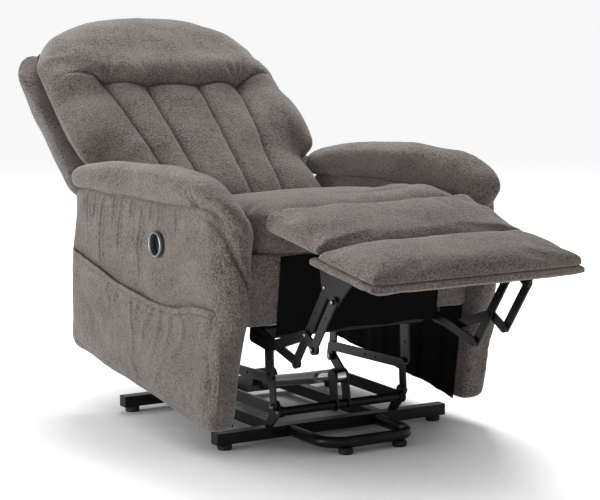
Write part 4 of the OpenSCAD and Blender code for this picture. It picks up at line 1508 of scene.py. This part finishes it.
    def bezel(self) -> None:
        """Makes a raised, rounded lip round the control panel, turned from its profile."""
        points, faces = lathe(smooth_line(self.bezel_profile, 24), self.panel, 64)
        piece = self.shop.cover("control_bezel", CARRIAGE, *points.T, faces, "panel_ring")
        self.shop.hand_over(piece, Body.CARRIAGE, slot="panel_ring")

    def build(self) -> None:
        """Makes the left arm, mirrors its panel, and adds what only the right arm has."""
        panel = self.side_panel()
        self.sew_panel(Skin(panel, CARRIAGE))
        other = mirrored(panel, "right_arm_panel")
        self.recess(Skin(other, CARRIAGE))
        pad = self.pad("left_arm_scroll_pad", self.far_line)
        pattern = self.pad("pad_pattern", self.near_line)
        other_pad = mirrored(pattern, "right_arm_scroll_pad")
        bpy.data.objects.remove(pattern)
        for piece, fill, node in ((panel, 0.3, "left_arm"), (other, 0.3, "right_arm"),
                                  (pad, 0.8, "left_arm_pad"), (other_pad, 0.8, "right_arm_pad")):
            self.shop.hand_over(piece, Body.CARRIAGE, node, fill=fill)
        self.pocket()
        self.bezel()


# ---- Mechanism --------------------------------------------------------------
@dataclass
class Fixings:
    """Domed rivet heads on the pivots of both linkages."""

    shop: Workshop
    foot_outer: float = 272.4
    drive_outer: float = 262.4
    riser_outer: float = 192.6
    bar_sink: float = 1.5
    drive_end: tuple[float, float] = (-308, 338)
    bar_mid: tuple[float, float] = (-258, 357)
    top_rear: tuple[float, float] = (-328, 488)
    top_front: tuple[float, float] = (-378, 469)
    riser: tuple[float, float] = (-37, 97)

    def dome(self, at: tuple[float, float], x: float, r: float) -> tuple[Array, Array]:
        """A rivet's head: a flattened spherical cap over a short skirt, turned about X.

        Args:
            at: y and z of its axis.
            x: where it starts.
            r: its radius.
        Returns:
            Points in the station and faces.
        """
        a = np.linspace(0, math.pi / 2, 7)
        cap = np.stack([x + 0.8 + 0.42 * r * np.sin(a), r * np.cos(a) + 1e-3], -1)
        return lathe(np.concatenate([[[x, r * 0.96]], cap]), at, 20)

    def joined(self, name: str, body: Body, station: Station, *heads: tuple[Array, Array]) -> None:
        """Makes one piece out of heads, repeated on the other side of the chair.

        Args:
            name: the piece's name.
            body: what it rides on.
            station: where the heads are drawn.
            heads: their points and faces.
        """
        points, faces, start = [], [], 0
        for p, f in heads:
            for side in Side:
                points.append(p * np.array([side.value, 1, 1]))
                faces.append(f[:, :: -side.value] + start)
                start += len(p)
        piece = self.shop.cover(name, station, *np.concatenate(points).T, np.concatenate(faces),
                                "rivet_steel")
        self.shop.hand_over(piece, body, slot="rivet_steel")

    def build(self) -> None:
        """Makes the heads of each body."""
        self.joined("drive_link_rivets", Body.DRIVE_LINKS, CARRIAGE,
                    self.dome(self.drive_end, self.foot_outer, 5),
                    self.dome(self.bar_mid, self.drive_outer - self.bar_sink, 4.6))
        self.joined("bracket_rivets", Body.FOOTREST, CARRIAGE,
                    self.dome(self.top_front, self.foot_outer, 5),
                    self.dome(self.top_rear, self.drive_outer, 4.6))
        self.joined("riser_rivets", Body.BASE, FLOOR, self.dome(self.riser, self.riser_outer, 7))


# ---- Studio -----------------------------------------------------------------
@dataclass
class Studio:
    """A pale floor, soft lamps and the camera."""

    azimuth: float = -31.13
    elevation: float = 8.5
    eye: tuple[float, float, float] = (-2.77218, -4.67594, 1.23878)
    lens: float = 131.2
    sensor: float = 36.0
    aim: tuple[float, float, float] = (0, 0, 0.4)
    floor_half: float = 30.0
    glow: float = 0.36
    sky: tuple[float, float] = (0.65, 1.1)
    lamps: tuple = (("key", (1.0, 1.9, 3.1), 165, 1.6), ("fill", (-3.1, 0.2, 0.9), 66, 1.4))

    def floor(self) -> None:
        """Makes a wide pale floor with a painted shadow: its colour darkens and its faint painted glow fades
        where the chair shades it.
        """
        points = np.array([[x, y, 0] for x, y in ((-1, -1), (1, -1), (1, 1), (-1, 1))])
        material, t, shader, at = new_material("pale_floor")
        near = t.add("AmbientOcclusion", {"Distance": 0.7}, samples=8).outputs["AO"]
        tone = t.between(t.noise(at, 3, 3), 0, 1, (0.86, 0.9))
        # Painted shadow: the floor's colour darkens to 0.4 where ambient occlusion finds the chair.
        tone = t.maths("MULTIPLY", tone, t.between(near, 0, 1, (0.4, 1)))
        # Painted light: the floor glows, fading to nothing near the chair.
        glow = t.maths("MULTIPLY", t.maths("POWER", near, 2), self.glow)
        t.feed(shader, {"Base Color": t.grey(tone), "Emission Color": t.grey(glow),
                        "Emission Strength": 1, "Roughness": 0.75})
        new_piece("floor", points * self.floor_half, np.array([[0, 1, 2, 3]]), material)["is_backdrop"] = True

    def lamp(self, name: str, at: Sequence[float], power: float, size: float) -> None:
        """Hangs a square soft lamp, turned to the chair.

        Args:
            name: its name.
            at: where it hangs, in metres.
            power: in watts.
            size: in metres.
        """
        light = bpy.data.lights.new(name, "AREA")
        light.energy, light.size = power, size
        holder = bpy.data.objects.new(name, light)
        holder.location = at
        holder.rotation_euler = (Vector(self.aim) - Vector(at)).to_track_quat("-Z", "Y").to_euler()
        bpy.context.scene.collection.objects.link(holder)

    def sky_light(self) -> None:
        """Makes a white world, brighter to the camera than to the chair."""
        world = bpy.data.worlds.new("studio")
        world.use_nodes = True
        t = Tree(world.node_tree)
        seen = t.add("LightPath").outputs["Is Camera Ray"]
        t.feed(world.node_tree.nodes["Background"],
               {"Color": (1, 1, 1, 1), "Strength": t.between(seen, 0, 1, self.sky)})
        bpy.context.scene.world = world

    def camera(self) -> None:
        """Sets the camera, which looks down by the elevation from the azimuth."""
        camera = bpy.data.objects.new("camera", bpy.data.cameras.new("camera"))
        camera.data.lens, camera.data.sensor_width = self.lens, self.sensor
        a, e = math.radians(self.azimuth), math.radians(self.elevation)
        back = Vector((math.sin(a) * math.cos(e), -math.cos(a) * math.cos(e), math.sin(e)))
        camera.location = self.eye
        camera.rotation_mode = "QUATERNION"
        camera.rotation_quaternion = (-back).to_track_quat("-Z", "Y")
        bpy.context.scene.collection.objects.link(camera)
        bpy.context.scene.camera = camera

    def build(self) -> None:
        """Sets the world, floor, lamps and camera."""
        bpy.context.scene.view_settings.view_transform = "Standard"
        self.sky_light()
        self.floor()
        for lamp in self.lamps:
            self.lamp(*lamp)
        self.camera()


def corners() -> list[list[float]]:
    """The lowest and highest corner of what is shown, as plain lists."""
    return [[float(c) for c in corner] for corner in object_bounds()]


def main() -> None:
    logging.basicConfig(level=logging.INFO, format="%(message)s")
    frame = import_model()
    shop = Workshop(frame)
    shop.dress_frame()
    for assembly in (Back(shop), SeatAndFootrest(shop), Arms(shop), Fixings(shop), Studio()):
        assembly.build()


if __name__ == "__main__":
    main()
